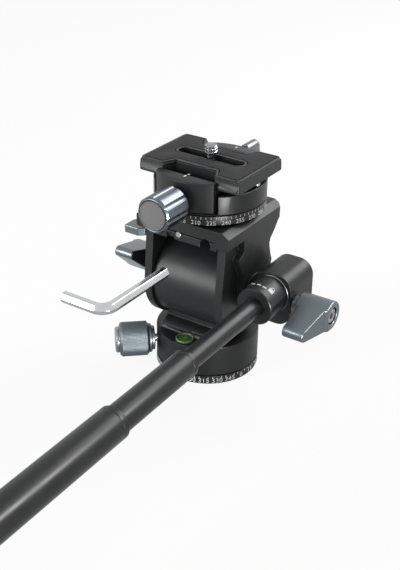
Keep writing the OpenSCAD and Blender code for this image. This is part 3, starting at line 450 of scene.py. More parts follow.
# %% [markdown]
# ## Degree scales
# The numbers are generic degrees, every fifteen, with ticks every five. A number is a text made
# a mesh, and then wrapped on its ring: the distance along the text becomes an angle, since an arc
# of length s on radius R spans s / R.

# %% Numbers and ticks wrapped on a ring
INK = 0.03
LOW_R, LOW_ZERO = 26.0, -375.5
HIGH_R, HIGH_ZERO = 27.0, -281.0
DIGIT = 0.71


def flat_number(text, height):
    """Vertices (mm) and faces of a text, centred, standing on its base line."""
    curve = bpy.data.curves.new("number", "FONT")
    curve.body, curve.size, curve.align_x = text, height / DIGIT, "CENTER"
    curve.extrude, curve.offset = INK / 2, 0.006 * height
    curve.resolution_u, curve.space_character = 3, 1.08
    drawn = bpy.data.objects.new("number", curve)
    bpy.context.scene.collection.objects.link(drawn)
    graph = bpy.context.evaluated_depsgraph_get()
    mesh = bpy.data.meshes.new_from_object(drawn.evaluated_get(graph))
    points = np.zeros(len(mesh.vertices) * 3)
    mesh.vertices.foreach_get("co", points)
    faces = [list(p.vertices) for p in mesh.polygons]
    bpy.data.objects.remove(drawn)
    bpy.data.meshes.remove(mesh)
    return points.reshape(-1, 3), faces


def tick(width, z0, z1):
    """A small box, INK thick, as vertices and faces."""
    x, y, z = np.meshgrid([-width / 2, width / 2], [z0, z1], [-INK / 2, INK / 2], indexing="ij")
    points = np.stack([x.ravel(), y.ravel(), z.ravel()], -1)
    faces = [[0, 1, 3, 2], [4, 6, 7, 5], [0, 4, 5, 1], [2, 3, 7, 6], [0, 2, 6, 4], [1, 5, 7, 3]]
    return points, faces


def wrapped(name, marks, radius, place):
    """Marks given as (points, faces, azimuth in degrees, height) on a cylinder about local Z."""
    points, faces, count = [], [], 0
    for mark_points, mark_faces, azimuth, height in marks:
        angle = math.radians(azimuth) + mark_points[:, 0] / radius
        r = radius + mark_points[:, 2]
        up = height + mark_points[:, 1]
        points.append(np.stack([r * np.cos(angle), r * np.sin(angle), up], -1))
        faces += [[v + count for v in face] for face in mark_faces]
        count += len(mark_points)
    mesh = bpy.data.meshes.new(name)
    mesh.from_pydata(in_metres(np.concatenate(points), place).tolist(), [], faces)
    return new_object(name, mesh)


low_marks = [(*flat_number(str(n), 2.6), n + LOW_ZERO, 0.8) for n in range(0, 360, 15)]
low_marks += [(*tick(0.34, 3.3, 4.2), n + LOW_ZERO, 0.0) for n in range(0, 360, 5) if n % 15]
low_scale = dress(wrapped("lower_degree_scale", low_marks, LOW_R, HERE), "base", white_ink)
high_marks = [(*flat_number(str(n), 2.05), n + HIGH_ZERO, 87.7) for n in range(0, 360, 15)]
high_marks += [(*tick(0.3, 90.45, 91.5), n + HIGH_ZERO, 0.0) for n in range(0, 360, 5)]
high_scale = dress(wrapped("upper_degree_scale", high_marks, HIGH_R, HERE), "tilt", white_ink)
print("scales:", len(low_scale.data.polygons), "and", len(high_scale.data.polygons), "faces")

# %% [markdown]
# ## The spirit level
# A round level sits in a bore in the housing. Its acrylic rim stands a little proud, the liquid
# is domed below a thin lens, and a bubble and a black reading ring show in it.

# %% Rim, liquid, bubble and reading ring
LEVEL = shift(0, -20.6, 0)
rim_steps = [
    [0, 18.7], [4.55, 18.7], [4.55, 21.6], [4.3, 21.9],
    [3.75, 21.7], [3.6, 21.1], [3.6, 19.4], [0, 19.4],
]
rim = turned("level_rim_moulded", eased(rim_steps, 0.12), LEVEL, around=72)
dress(rim, "pan", vial_rim, "bubble_cup")
t = np.linspace(0, 1, 14)
dome = np.column_stack([3.58 * np.sin(t * np.pi / 2), 21.15 + 0.55 * np.cos(t * np.pi / 2)])
liquid = turned("level_liquid", np.vstack([dome, [[3.58, 19.5], [0, 19.5]]]), LEVEL, around=72)
dress(liquid, "pan", vial_green, "bubble_vial")
reading_line = ring_profile(1.45, 1.62, 21.60, 21.68, 0.02)
reading = turned("level_reading_ring", reading_line, LEVEL, True, 72)
dress(reading, "pan", black_bead)
bubble = turned(
    "level_bubble",
    np.column_stack([1.05 * np.sin(t * np.pi), 21.62 - 0.14 * np.cos(t * np.pi)]),
    LEVEL @ shift(0.35, 0.3, 0),
    around=36,
)
dress(bubble, "pan", vial_rim)
print("the level is made of four pieces")

# %% [markdown]
# ## The pan lock knob
# A turned knob with a very fine straight knurl: 84 teeth round, each a rounded
# ridge. The radius of the lathe is lowered by a wave of the angle, and the wave fades out on the
# two chamfers. Two stepped rings lead to the screw, and a stepped cap closes the outer end.

# %% Fine knurl, rings and cap
KNURLS, KNURL_DEPTH, KNOB_R = 84, 0.1, 8.8


def knurl(angle, height, radius):
    """A ridge wave, KNURL_DEPTH deep, only where the knob has its full radius."""
    full = np.clip((radius - 8.4) / 0.35, 0, 1)
    return -KNURL_DEPTH * (0.5 + 0.5 * np.cos(KNURLS * angle)) * full


ring_steps = [
    [2.2, 27.4], [5.86, 27.4], [6.16, 27.75], [6.16, 28.85],
    [7.05, 28.95], [7.39, 29.3], [7.39, 30.25], [7.2, 30.4],
]
knob_profile = np.vstack(
    [
        eased(ring_steps, 0.1),
        eased([[7.3, 30.4], [7.8, 30.5], [KNOB_R, 31.5]], 0.12),
        np.column_stack([np.full(5, KNOB_R), np.linspace(31.8, 43.8, 5)]),
        eased([[KNOB_R, 44.1], [7.8, 45.1], [6.95, 45.2], [6.85, 44.7], [2.2, 44.7]], 0.12),
    ]
)
pan_knob = turned("pan_knob_knurled", knob_profile, PAN_LOCK @ ALONG_X, True, KNURLS * 8, knurl)
dress(pan_knob, "pan_lock", grey_knurled, "pan_knob")
cap_steps = [
    [0, 44.1], [6.65, 44.1], [6.65, 45.5], [6.45, 45.65],
    [6.65, 45.8], [6.65, 46.7], [5.95, 47.35], [0, 47.4],
]
pan_cap = turned("pan_knob_cap_turned", eased(cap_steps, 0.1), PAN_LOCK @ ALONG_X, around=96)
dress(pan_cap, "pan_lock", grey_anodised, "pan_knob_cap")
print("knob of", len(pan_knob.data.polygons), "faces")

# %% [markdown]
# ## Barrel and yoke
# The barrel is a turned cylinder whose long satin highlight shows its roundness. The yoke round it
# is one milled piece: two arms, the platform on top with its long side chamfers, and the web on the
# handle side.

# %% Barrel and yoke
barrel_steps = [[16, -17.9], [21.6, -17.9], [22, -17.5], [22, 17.5], [21.6, 17.9], [16, 17.9]]
barrel = turned(
    "tilt_barrel_turned", eased(barrel_steps, 0.15, True), TILT_AXIS @ ALONG_X, True, 192
)
dress(barrel, "pan", black_anodised, "tilt_barrel")
yoke = dress(milled("yoke", 0.3), "tilt", black_anodised, "yoke")
print("yoke of", len(yoke.data.polygons), "faces")

# %% [markdown]
# ## Rosettes
# Between the yoke and the handle sits a pair of toothed discs, so that the handle can be set in
# steps. Thirty radial teeth are a triangle wave of the angle, added to the height of the disc's
# outer band.

# %% Two toothed discs
TEETH, TOOTH = 30, 0.4


def rosette(name, place, around=TEETH * 8):
    """A disc of radius 9.5, 0.65 thick, with a band of teeth on its +Z face."""
    profile = np.array(
        [
            [3.1, 0.05], [9.2, 0.05], [9.45, 0.2], [9.45, 0.62],
            [9.3, 0.68], [6.5, 0.68], [6.3, 0.62], [3.1, 0.62],
        ]
    )
    angle = np.arange(around) * 2 * np.pi / around
    wave = np.abs(((TEETH * angle / (2 * np.pi)) % 1) * 2 - 1)
    height = np.repeat(profile[:, 1:2], around, 1)
    height[4:6] += TOOTH * wave
    points = np.stack(
        [profile[:, :1] * np.cos(angle), profile[:, :1] * np.sin(angle), height], -1
    )
    return grid_piece(name, points, place, close_rows=True)


fixed = rosette("rosette_fixed_toothed", TILT_AXIS @ shift(26.0) @ ALONG_X)
dress(fixed, "tilt", black_bead, "rosette_fixed")
moving = rosette("rosette_moving_toothed", HANDLE @ shift(28.5) @ flip("x") @ ALONG_X)
dress(moving, "handle", black_bead, "rosette_moving")
print("rosette of", len(fixed.data.polygons), "faces")

# %% [markdown]
# ## Wing levers
# Three places use the same small lever: a hub, and a wing that narrows to a rounded tip. Seen
# along its axis its outline is a teardrop: two circles joined by their common tangents. A point
# of the outline is its circle's centre plus radius times the outward normal, and moving it back
# along that normal gives the rings of the rounded rims. The outer face steps down where the wing
# leaves the hub, and slopes to the tip.

# %% The lever as one closed loft
HUB_R = 7.2
SIDE_Y = np.array(
    [-2.4, -3.6, -4.3, -4.5, -4.7, -5.0, -5.6, -5.8, -6.0, -6.6, -7.1, -7.5, -8.2, -11, -15, -19]
)


def lever_stations(reach, tip_r):
    """Half of the teardrop, from the back of the hub to the tip: points and outward normals.
    The straight side has its points at SIDE_Y, close together where the faces step. The tangent
    touches both circles where the normal's cosine is (hub - tip) / reach."""
    lean = math.acos((HUB_R - tip_r) / reach)
    hub = np.linspace(0, np.pi - lean, 40)
    tip = np.linspace(np.pi - lean, np.pi, 14)
    hub_points = HUB_R * np.column_stack([np.cos(hub), np.sin(hub)])
    tip_points = np.array([-reach, 0]) + tip_r * np.column_stack([np.cos(tip), np.sin(tip)])
    share = (SIDE_Y - hub_points[-1, 0]) / (tip_points[0, 0] - hub_points[-1, 0])
    side = hub_points[-1] + share[:, None] * (tip_points[0] - hub_points[-1])
    normal = np.column_stack([np.cos(hub), np.sin(hub)])
    along = np.repeat(normal[-1:], len(side), 0)
    tips = np.column_stack([np.cos(tip), np.sin(tip)])
    return np.vstack([hub_points, side, tip_points]), np.vstack([normal, along, tips])


OUTER = eased([[-25, 15.7], [-5.8, 18.8], [-4.55, 20.0], [8, 20.0]], 0.3)
INNER = eased([[-25, 5.4], [-7.4, 5.4], [-6.9, 3.2], [8, 3.2]], 0.3)


LEVER_SOFT, STEPS, ACROSS = 0.7, 6, 12


def lever_shell(reach, tip_r):
    """Rows are stations along the outline's half, columns go round the section: the inner face, a
    rounded rim, the side, the outer rim, the outer face and back along the mirrored half."""
    points, normals = lever_stations(reach, tip_r)
    a = np.linspace(0, np.pi / 2, STEPS)
    depth, lift = LEVER_SOFT * (1 - np.cos(a)), LEVER_SOFT * (1 - np.sin(a))
    columns = []
    for k in range(STEPS - 1, -1, -1):
        moved = points - depth[k] * normals
        columns.append(np.column_stack([np.interp(moved[:, 0], *INNER.T) + lift[k], moved]))
    for k in range(STEPS):
        moved = points - depth[k] * normals
        columns.append(np.column_stack([np.interp(moved[:, 0], *OUTER.T) - lift[k], moved]))
    half = np.stack(columns, 1)
    other = half[:, ::-1] * (1, 1, -1)
    f = np.linspace(1, -1, ACROSS + 1)[1:-1]
    top = half[:, -1:] * np.stack([np.ones_like(f), np.ones_like(f), f], -1)[None]
    bottom = half[:, :1] * np.stack([np.ones_like(f), np.ones_like(f), -f], -1)[None]
    return np.concatenate([half, top, other, bottom], 1)


RECESS = [[0, 17.4], [4.25, 17.4], [4.25, 19.7], [4.6, 20.05], [4.6, 21.5], [0, 21.5]]
NECK = [[3.05, 0.05], [4.4, 0.05], [4.6, 0.25], [4.6, 3.6], [3.05, 3.6]]
SCREW = [
    [0, 12.0], [2.0, 12.0], [2.0, 17.45], [3.35, 17.45], [3.7, 17.8],
    [3.7, 19.0], [3.4, 19.35], [3.0, 19.35], [2.85, 19.2], [0, 19.2],
]
SOCKET = [[0, 17.7], [1.73, 17.7], [1.73, 19.2], [1.95, 19.5], [0, 19.5]]


def wing_lever(name, place, body, nodes, reach=21.7, tip_r=2.6):
    """The lever with its screw recess, and the neck that it turns on."""
    lever = grid_piece(name, lever_shell(reach, tip_r), place)
    axis = place @ ALONG_X
    recess = turned("recess", RECESS, axis, around=72)
    dress(carve(lever, recess), body, grey_lever, nodes[0])
    neck = turned(name + "_neck", eased(NECK, 0.1, True), axis, True, 72)
    dress(neck, body, grey_lever)
    screw = turned(name + "_screw", eased(SCREW, 0.08), axis, around=60)
    socket = turned("socket", SOCKET, axis, around=6)
    dress(carve(screw, socket), body, dull_steel, nodes[1])
    return lever


handle_nodes = ("wing_lever", "wing_lever_screw")
tilt_nodes = ("tilt_lever", "tilt_lever_screw")
panorama_nodes = ("panorama_lever", "panorama_lever_screw")
levers = [
    wing_lever("handle_lever", WING_LEVER, "handle_lock", handle_nodes, 19.5, 3.1),
    wing_lever("tilt_lever_wing", TILT_LEVER, "tilt_lock", tilt_nodes),
    wing_lever("panorama_lever_wing", PANORAMA_LEVER, "panorama_lock", panorama_nodes),
]
print("lever of", len(levers[0].data.polygons), "faces")

# %% [markdown]
# ## The side lever
# A small block with cut corners turns on the left arm, below the platform. It is the CAD solid
# with its edges rounded and its outer end drawn in a little.

# %% Side lever
SIDE_END = -33.8
side_lever = milled("side_lever", 0.6, segments=3)
for vertex in side_lever.data.vertices:
    vertex.co.x = max(vertex.co.x, SIDE_END * MM)
dress(side_lever, "side_lever", grey_lever, "side_lever")
print("side lever of", len(side_lever.data.polygons), "faces")

# %% [markdown]
# ## The handle
# The holder is a rounded block. A thin ring frames the twist collar; its bright grey is a painted
# highlight that stands in for the glint on the edge of a black ring. From it the three tubes come
# out one from another, each with a fine line near its front end.

# %% Holder, collar and tubes
COLLAR_R = 9.3
holder = milled("handle_holder", 0.35, segments=3)
dress(holder, "handle", black_anodised, "handle_holder")
frame_ring = turned(
    "holder_front_ring",
    eased([[9.35, 3.0], [10.1, 3.0], [10.1, 3.4], [9.55, 4.5], [9.35, 4.6]], 0.1, True),
    TUBE @ ALONG_Y,
    True,
    128,
)
# The ring's bright grey is a painted edge highlight, not the ring's own black.
dress(frame_ring, "handle", painted_highlight_grey)


def tube(name, r, bore, y0, y1, line=None, chamfer=0.5):
    """A tube with chamfered ends, and a groove 0.32 wide at the height `line`."""
    outside = [[bore, y0], [r - chamfer, y0], [r, y0 + chamfer]]
    if line:
        outside += [[r, line - 0.16], [r - 0.14, line - 0.08]]
        outside += [[r - 0.14, line + 0.08], [r, line + 0.16]]
    outside += [[r, y1 - chamfer], [r - chamfer, y1], [bore, y1]]
    return turned(name, eased(outside, 0.12, closed=True), TUBE @ ALONG_Y, True, 96)


collar_steps = [
    [6.5, 4.6], [8.9, 4.6], [COLLAR_R, 5.0], [COLLAR_R, 19.35],
    [8.8, 19.8], [4.76, 19.8], [4.76, 9.0], [6.5, 9.0],
]
collar = turned("twist_collar_turned", eased(collar_steps, 0.12, True), TUBE @ ALONG_Y, True, 128)
dress(collar, "handle_collar", black_anodised, "handle_collar")
inner_tube = tube("inner_tube_drawn", 4.7, 3.7, 5.6, 86.8)
dress(inner_tube, "handle", black_turned, "inner_tube")
middle_tube = tube("middle_tube_drawn", 6.35, 5.2, 74.8, 135.8, 77.6)
dress(middle_tube, "handle_middle", black_turned, "middle_tube")
grip = tube("grip_turned", 7.5, 6.86, 123.8, 227.8, 127.0, 0.7)
dress(grip, "handle_grip", black_turned, "grip_tube")
cap_steps = [
    [0, 222.8], [6.8, 222.8], [6.8, 227.85], [7.5, 227.85],
    [7.5, 231.4], [6.9, 232.5], [5.5, 232.8], [0, 232.8],
]
end_cap = turned("grip_end_cap_moulded", eased(cap_steps, 0.3), TUBE @ ALONG_Y, around=96)
dress(end_cap, "handle_grip", rubber, "grip_end_cap")
print("tubes, grip and cap")

# %% [markdown]
# ## Marks on the collar
# A slanted stroke, three dashes and a small padlock are printed round the collar: turn it this
# way to lock. Each is a pen stroke along a path of (angle, height) pairs, wrapped on the collar.

# %% Lock marks wrapped on the collar
def stroke(path, width):
    """A pen stroke of this width along a path of (angle in degrees, height in mm), drawn in the
    collar's unrolled surface and wrapped on it, with both ends closed."""
    a, y = np.asarray(path, float).T
    far = np.linspace(0, 1, len(a))
    fine = np.linspace(0, 1, max(len(a), 9))
    arc = np.radians(np.interp(fine, far, a)) * COLLAR_R
    flat = np.column_stack([arc, np.interp(fine, far, y)])
    along = np.gradient(flat, axis=0)
    along /= np.linalg.norm(along, axis=1)[:, None]
    side = np.column_stack([-along[:, 1], along[:, 0]]) * width / 2
    lines = [(flat + side, INK), (flat - side, INK), (flat - side, -INK), (flat + side, -INK)]
    rings = []
    for line, lift in lines:
        turned_by, r = line[:, 0] / COLLAR_R, COLLAR_R + lift / 2
        rings.append(np.column_stack([r * np.cos(turned_by), line[:, 1], r * np.sin(turned_by)]))
    faces = grid_faces(4, len(flat), True, False).tolist()
    ends = [[k * len(flat) + e for k in range(4)] for e in (0, len(flat) - 1)]
    return np.concatenate(rings), faces + ends


bow = np.radians(np.linspace(0, 180, 15))
strokes = [
    stroke([(138, 14.2), (129.5, 11.2)], 0.8),
    stroke([(119, 14.2), (108, 14.3)], 0.85),
    stroke([(99.5, 14.6), (87, 14.7)], 0.9),
    stroke([(80.5, 14.9), (69, 14.8)], 0.9),
    stroke([(45, 13.9), (62, 13.9)], 2.5),
    stroke(np.column_stack([53.6 + 5.4 * np.cos(bow), 12.8 - 1.6 * np.sin(bow)]), 0.32),
]


def joined(name, parts, place):
    """One mesh from several (points, faces)."""
    start = np.cumsum([0] + [len(points) for points, _ in parts])
    faces = [[v + k for v in face] for k, (_, part) in zip(start.tolist(), parts) for face in part]
    mesh = bpy.data.meshes.new(name)
    points = np.concatenate([points for points, _ in parts])
    mesh.from_pydata(in_metres(points, place).tolist(), [], faces)
    return new_object(name, mesh)


collar_print = dress(joined("collar_lock_marks", strokes, TUBE), "handle_collar", white_ink)
print("collar marks:", len(strokes), "strokes")

# %% [markdown]
# ## Panorama ring and clamp
# The clamp turns on the platform above a second scale. Its body and its front jaw are milled from
# a round blank, and the jaw is drawn by a fluted knob.

# %% Scale ring, clamp body and jaw
upper_ring = turned(
    "upper_ring_turned",
    eased([[24.8, 87.3], [26.6, 87.3], [27, 87.7], [27, 91.9], [24.8, 91.9]], 0.12, closed=True),
    HERE,
    closed=True,
    around=192,
)
dress(upper_ring, "tilt", black_turned, "upper_scale_ring")
clamp_body = dress(milled("clamp_body", 0.25), "clamp", black_anodised, "clamp_body")
clamp_jaw = dress(milled("clamp_jaw", 0.25), "jaw", black_anodised, "clamp_jaw")
CLAMP_TOP = 107.7


def bar_mark(x, y0, y1, width):
    """A printed bar on the level top of clamp and jaw."""
    points, faces = tick(width, y0, y1)
    return points + (x, 0, CLAMP_TOP), faces


jaw_bars = [bar_mark(-0.4, -21.9, -19.9, 0.85), bar_mark(0.0, -18.8, -17.9, 0.9)]
jaw_marks = joined("jaw_centre_marks", jaw_bars, HERE)
dress(jaw_marks, "jaw", white_ink)
back_mark = joined("clamp_centre_mark", [bar_mark(-0.5, 22.6, 24.3, 0.9)], HERE)
dress(back_mark, "clamp", white_ink)
print("clamp and its centre marks")

# %% [markdown]
# ## The clamp knob
# A polished knob with eight hollow flutes. A ball-nosed cutter of radius c whose centre line runs
# at radius q leaves, at the angle d from the flute's middle, the radius
# q cos d - sqrt(c^2 - q^2 sin^2 d). The cut is parallel to the axis, so it scallops the chamfer of
# the front rim by itself. A flat grey cap with a fine ring closes the face.

# %% Fluted knob and its cap
FLUTES, FLUTE_TURN, CUTTER, FLUTE_DEPTH = 8, 7.7, 2.3, 0.55
FLUTED_R = 8.6


def flute(angle, height, radius):
    """How far the cutter lowers the radius; it does not reach the boss behind the knob."""
    period = 2 * np.pi / FLUTES
    off = (angle - math.radians(FLUTE_TURN) + period / 2) % period - period / 2
    q = FLUTED_R + CUTTER - FLUTE_DEPTH
    hollow = q * np.cos(off) - np.sqrt(np.maximum(CUTTER**2 - (q * np.sin(off)) ** 2, 0))
    hollow = np.where(q * np.abs(np.sin(off)) < CUTTER, hollow, 99)
    return np.where(radius > 7, np.minimum(radius, hollow) - radius, 0)


boss_steps = [
    [3.1, 27.3], [5.9, 27.3], [6.0, 27.5], [6.0, 30.6],
    [8.3, 30.6], [FLUTED_R, 30.9], [FLUTED_R, 31.5],
]
rim_steps = [[FLUTED_R, 44.0], [FLUTED_R, 45.75], [7.75, 46.75], [7.35, 46.8], [6.98, 46.4]]
clamp_profile = np.vstack(
    [
        eased(boss_steps, 0.15),
        np.column_stack([np.full(7, FLUTED_R), np.linspace(33, 43, 7)]),
        eased(rim_steps, 0.25, steps=5),
        np.array([[6.95, 46.0], [3.1, 46.0]]),
    ]
)
knob_axis = CLAMP_AXIS @ ALONG_Y
clamp_knob = turned("clamp_knob_fluted", clamp_profile, knob_axis, True, FLUTES * 60, flute)
dress(clamp_knob, "clamp_knob", grey_knob, "clamp_knob")
face_steps = [
    [0, 46.0], [6.88, 46.0], [6.88, 46.75], [6.7, 47.0], [6.35, 47.0],
    [6.25, 46.88], [6.1, 46.88], [6.0, 47.0], [0, 47.0],
]
knob_face = turned("clamp_knob_face", eased(face_steps, 0.06), knob_axis, around=128)
dress(knob_face, "clamp_knob", face_grey, "clamp_knob_cap")
print("fluted knob of", len(clamp_knob.data.polygons), "faces")

# %% [markdown]
# ## The camera plate
# The plate is a dovetail bar with a notch in each long side. On top a thin rim frames a rubber
# pad, and a second rim follows the slot. The outlines are polygons moved inwards along the
# bisectors of their corners, then rounded.

# %% Plate outlines
PLATE_TOP, CLIP_Z = 27.1, 109
PLATE_SIDE = [[-14.6, -18.9], [-11.1, -12.5], [11.1, -12.5], [14.6, -18.9]]
PLATE_HALF = np.array([[-PLATE_TOP, -18.9], *PLATE_SIDE, [PLATE_TOP, -18.9]])
PLATE = np.vstack([PLATE_HALF, -PLATE_HALF])
PLATE_SOFT = np.array([2.4, 0.7, 0.7, 0.7, 0.7, 2.4] * 2)


def inset(corners, depth):
    """Each corner moves by depth times the sum of its two inward normals over one plus their
    dot product."""
    along = np.roll(corners, -1, 0) - corners
    along = along / np.linalg.norm(along, axis=1)[:, None]
    inward = np.column_stack([-along[:, 1], along[:, 0]])
    last = np.roll(inward, 1, 0)
    return corners + depth * (inward + last) / (1 + (inward * last).sum(1))[:, None]


def plate_line(depth):
    """The plate's outline, moved inwards by depth and rounded at its corners."""
    soft = np.maximum(PLATE_SOFT - depth * (PLATE_SOFT > 1), 0.3)
    return eased(inset(PLATE, depth), soft, closed=True, steps=6)


def slot_line(grow):
    """A slot 35.8 by 6.6, grown by grow on every side."""
    a = np.linspace(-np.pi / 2, np.pi / 2, 17)
    right = np.column_stack([14.6 + (3.3 + grow) * np.cos(a), (3.3 + grow) * np.sin(a)])
    return np.vstack([right, -right])


plate = milled("quick_plate", 0.3)
for vertex in plate.data.vertices:
    if vertex.co.z > CLIP_Z * MM:
        vertex.co.x = min(max(vertex.co.x, -PLATE_TOP * MM), PLATE_TOP * MM)
dress(plate, "plate", black_anodised, "quick_plate")
rim = flat_plate("plate_rim", [plate_line(0.02), plate_line(1.1)], 109.5, 110.72, 0.28)
dress(rim, "plate", black_turned)
slot_rim = flat_plate("plate_slot_rim", [slot_line(1.15), slot_line(0.0)], 109.5, 110.68, 0.2)
dress(slot_rim, "plate", black_turned)
pad = flat_plate("plate_pad_moulded", [plate_line(1.6), slot_line(1.55)], 109.7, 110.8, 0.25)
dress(pad, "plate", rubber, "plate_pad")
print("plate, two rims and the pad of", len(pad.data.polygons), "faces")

# %% [markdown]
# ## The camera screw
# A 1/4 inch screw stands out of the slot. Its thread is a helix: the radius is a rounded tooth of
# the height less the angle's share of the pitch. The pitch is drawn at 1.6 mm, a quarter coarser
# than on the real screw, so that the thread shows at the picture's size.

# %% Screw with a real helix
PITCH, TOOTH_DEPTH, AROUND = 1.6, 0.67, 96
head = [104.8, 104.8, 105.0, 106.4, 106.6, 106.62]
h = np.concatenate([head, np.linspace(106.7, 116.6, 240), [116.6]])
heights = [104.8, 105.0, 106.4, 106.6, 106.63, 112.4, 112.8]
r = np.interp(h, heights, [5.0, 5.2, 5.2, 5.0, 2.45, 2.45, 2.5])
r[0] = r[-1] = 0.0
angle = np.arange(AROUND) * 2 * np.pi / AROUND
phase = (h[:, None] - 112.6) / PITCH - angle[None, :] / (2 * np.pi)
tooth = np.sqrt(np.clip(0.5 - 0.62 * np.cos(2 * np.pi * phase), 0, 1))
fade_in = np.clip((h[:, None] - 112.7) / 0.5, 0, 1)
threaded = fade_in * np.clip((116.75 - h[:, None]) / 0.5, 0.2, 1)
radius = np.repeat(r[:, None], AROUND, 1) + TOOTH_DEPTH * tooth * threaded * (r[:, None] > 0)
level = np.repeat(h[:, None], AROUND, 1)
points = np.stack([radius * np.cos(angle), radius * np.sin(angle), level], -1)
camera_screw = grid_piece("camera_screw_threaded", points, HERE)
dress(camera_screw, "camera_screw", screw_steel, "camera_screw")
camera_screw.data.shade_smooth()
camera_screw.data.set_sharp_from_angle(angle=math.radians(70))
print("screw of", len(camera_screw.data.polygons), "faces")

# %% [markdown]
# ## The hex key
# A bent bar with six flats, 4.5 millimetres across, nickel plated. Its section is carried along
# a straight leg, a quarter bend and the short leg: at each station the section stands in the plane
# of the bend's outward direction and the vertical.

# %% Hexagon carried round a bend
KEY_X, KEY_Y, KEY_Z, BEND, TIP_Y = 13.2, -92.125, 77.6, 5.625, -55.85
ACROSS_FLATS, SHORT_LEG = 4.5, 21.98
corner = np.radians(60 * np.arange(6))
hexagon = ACROSS_FLATS / math.sqrt(3) * np.column_stack([np.cos(corner), np.sin(corner)])
hexagon = eased(hexagon, 0.28, True, 3)
a = np.linspace(0, np.pi / 2, 20)
centres = np.vstack(
    [
        np.column_stack([np.full(4, KEY_X), [TIP_Y - 0.02, TIP_Y - 0.25, -65, -80]]),
        np.column_stack([KEY_X - BEND + BEND * np.cos(a), KEY_Y - BEND * np.sin(a)]),
        np.column_stack([[0, KEY_X - 21.75, KEY_X - SHORT_LEG], np.full(3, KEY_Y - BEND)]),
    ]
)
outward = np.vstack(
    [
        np.repeat([[1.0, 0.0]], 4, 0),
        np.column_stack([np.cos(a), -np.sin(a)]),
        np.repeat([[0.0, -1.0]], 3, 0),
    ]
)
centres = np.vstack([centres[:1], centres, centres[-1:]])
outward = np.vstack([outward[:1], outward, outward[-1:]])
scale = np.ones(len(centres))
scale[[0, 1, -2, -1]] = 0.0, 0.88, 0.88, 0.0
section = hexagon[None] * scale[:, None, None]
points = np.concatenate(
    [centres[:, None] + section[:, :, :1] * outward[:, None], KEY_Z + section[:, :, 1:]], -1
)
hex_key = dress(grid_piece("hex_key_bent", points, HERE), "hex_key", nickel, "hex_key")
print("key of", len(hex_key.data.polygons), "faces")

# %% [markdown]
# ## What keeps its CAD form
# Shafts, washers, discs, springs and small screws already have their true form. They only get
# their finish.

# %% Finishes for the remaining nodes
KEPT = {
    black_bead: ["base_plate", "panorama_base", "barrel_caps", "pan_retainer"],
    steel: [
        "thread_insert", "pan_spindle", "pan_lock_screw", "tilt_shaft", "jaw_guide_pins",
        "jaw_springs", "clamp_screw", "plate_stop_screws", "screw_washer",
    ],
    dull_steel: [
        "base_screws", "barrel_screws", "handle_stud", "tilt_stud", "key_magnet",
        "side_lever_screw", "panorama_retainer", "panorama_lock_screw",
    ],
    brass: ["pan_thrust_washer", "tilt_bushes"],
    drag_plastic: ["pan_drag_discs", "tilt_drag_discs"],
    sleeve_plastic: ["middle_sleeve", "grip_sleeve"],
    rubber: ["barrel_seals"],
}
for finish, nodes in KEPT.items():
    for node in nodes:
        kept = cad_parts[node]
        kept.data.materials.clear()
        kept.data.materials.append(finish)
kept_names = {node for nodes in KEPT.values() for node in nodes}
hidden = {node for node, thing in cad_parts.items() if thing.hide_render}
undressed = sorted(set(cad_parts) - kept_names - hidden)
print("kept", len(kept_names), "replaced", len(hidden), "undressed", undressed)

# %% [markdown]
# ## Floor, light and camera
# A pale floor and a white surround stand for a photographer's light tent: camera rays and
# reflections see white, while the lamps do the lighting. A soft lamp low in front draws the long
# highlight on the barrel, one behind the object lights tubes and chamfers, one low on the right
# draws the bands on the upright cylinders, and a small one traces rounded edges. The last two
# show in reflections only.

# %% Surround
world = bpy.data.worlds.new("light_tent")
bpy.context.scene.world = world
world.use_nodes = True
tree = world.node_tree
tree.nodes.clear()
path = add(tree, "LightPath")
seen = path.outputs["Is Camera Ray"]
for kind in ("Is Glossy Ray", "Is Transmission Ray"):
    seen = add(tree, "Math", {0: seen, 1: path.outputs[kind]}, operation="MAXIMUM").outputs[0]
strength = add(tree, "MapRange", {"Value": seen, "To Min": 0.42, "To Max": 1.0})
tent = add(tree, "Background", {"Color": (1, 1, 1, 1), "Strength": strength.outputs["Result"]})
tree.links.new(tent.outputs["Background"], add(tree, "OutputWorld").inputs["Surface"])

mesh = bpy.data.meshes.new("floor")
mesh.from_pydata([(-4, -4, 0), (4, -4, 0), (4, 4, 0), (-4, 4, 0)], [], [(0, 1, 2, 3)])
floor = bpy.data.objects.new("floor", mesh)
bpy.context.scene.collection.objects.link(floor)
made, tree, out = fresh("floor_paper")
path = add(tree, "LightPath")
place = add(tree, "TexCoord").outputs["Object"]
fibres = add(tree, "TexNoise", {"Vector": place, "Scale": per_mm(40.0)})
paper = add(tree, "MapRange", {"Value": fibres.outputs["Fac"], "To Min": 0.84, "To Max": 0.87})
diffuse = add(tree, "BsdfDiffuse", {"Color": paper.outputs["Result"]})
glow = add(tree, "Emission", {"Color": (1, 1, 1, 1), "Strength": 1.0})
share = add(tree, "Math", {0: path.outputs["Is Camera Ray"], 1: 0.9}, operation="MULTIPLY")
mixed = add(tree, "MixShader", {"Fac": share.outputs[0], 1: diffuse.outputs[0], 2: glow.outputs[0]})
tree.links.new(mixed.outputs[0], out.inputs["Surface"])
floor.data.materials.append(made)
print("tent and floor")

# %% Lamps
LOOK_AT = Vector((0, 0, 0.06))


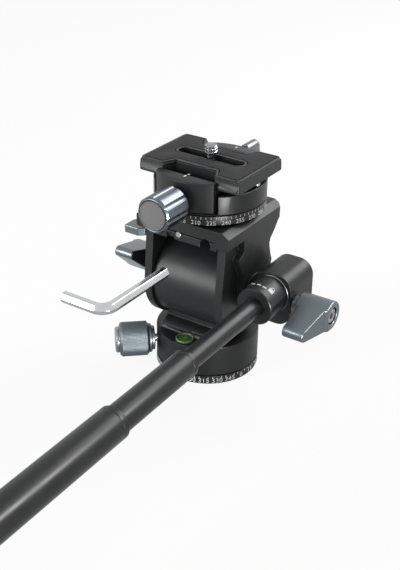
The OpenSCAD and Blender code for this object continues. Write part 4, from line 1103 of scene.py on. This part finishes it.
def soft_lamp(name, where, size, power, diffuse=True):
    """A square area lamp of `size` metres at `where`, turned towards LOOK_AT. Without `diffuse`
    it shows in reflections only."""
    lamp = bpy.data.lights.new(name, "AREA")
    lamp.shape, lamp.size, lamp.energy = "SQUARE", size, power
    held = bpy.data.objects.new(name, lamp)
    held.location = where
    held.rotation_mode = "QUATERNION"
    held.rotation_quaternion = (LOOK_AT - Vector(where)).to_track_quat("-Z", "Y")
    bpy.context.scene.collection.objects.link(held)
    held.visible_diffuse = diffuse


soft_lamp("key_lamp", (-0.456, -0.80, 0.30), 0.4, 6.8)
soft_lamp("back_lamp", (0.30, 0.71, 0.66), 0.55, 6.5)
soft_lamp("side_lamp", (0.36, -0.25, 0.035), 0.07, 2.6, diffuse=False)
soft_lamp("edge_lamp", (0.70, 0.32, 0.69), 0.2, 8.0, diffuse=False)
print("four lamps")

# %% [markdown]
# ## The camera
# The viewing angle was found by fitting straight edges of the object to the picture: azimuth
# 33.3 degrees, elevation 28.7 and a roll of one degree, 0.52 m away.

# %% Camera from the fitted view
azimuth, elevation, roll = np.radians([33.26, 28.66, 0.91])
DISTANCE, AIM_RIGHT, AIM_UP = 520.65, -3.629, 36.90
flat = np.cos(elevation)
back = np.array([np.sin(azimuth) * flat, -np.cos(azimuth) * flat, np.sin(elevation)])
level = np.array([np.cos(azimuth), np.sin(azimuth), 0])
upright = np.cross(back, level)
right = level * np.cos(roll) + upright * np.sin(roll)
up = upright * np.cos(roll) - level * np.sin(roll)
spot = (back * DISTANCE + right * AIM_RIGHT + up * AIM_UP) * MM
camera = bpy.data.objects.new("camera", bpy.data.cameras.new("camera"))
camera.data.lens, camera.data.sensor_width = 63.16, 36.0
camera.data.clip_start, camera.data.clip_end = 0.01, 30.0
axes = [np.r_[right, 0], np.r_[up, 0], np.r_[back, 0], np.r_[spot, 1]]
camera.matrix_world = Matrix(np.column_stack(axes).tolist())
bpy.context.scene.collection.objects.link(camera)
bpy.context.scene.camera = camera
bpy.context.scene.view_settings.view_transform = "Standard"
print("camera at", np.round(spot, 3))
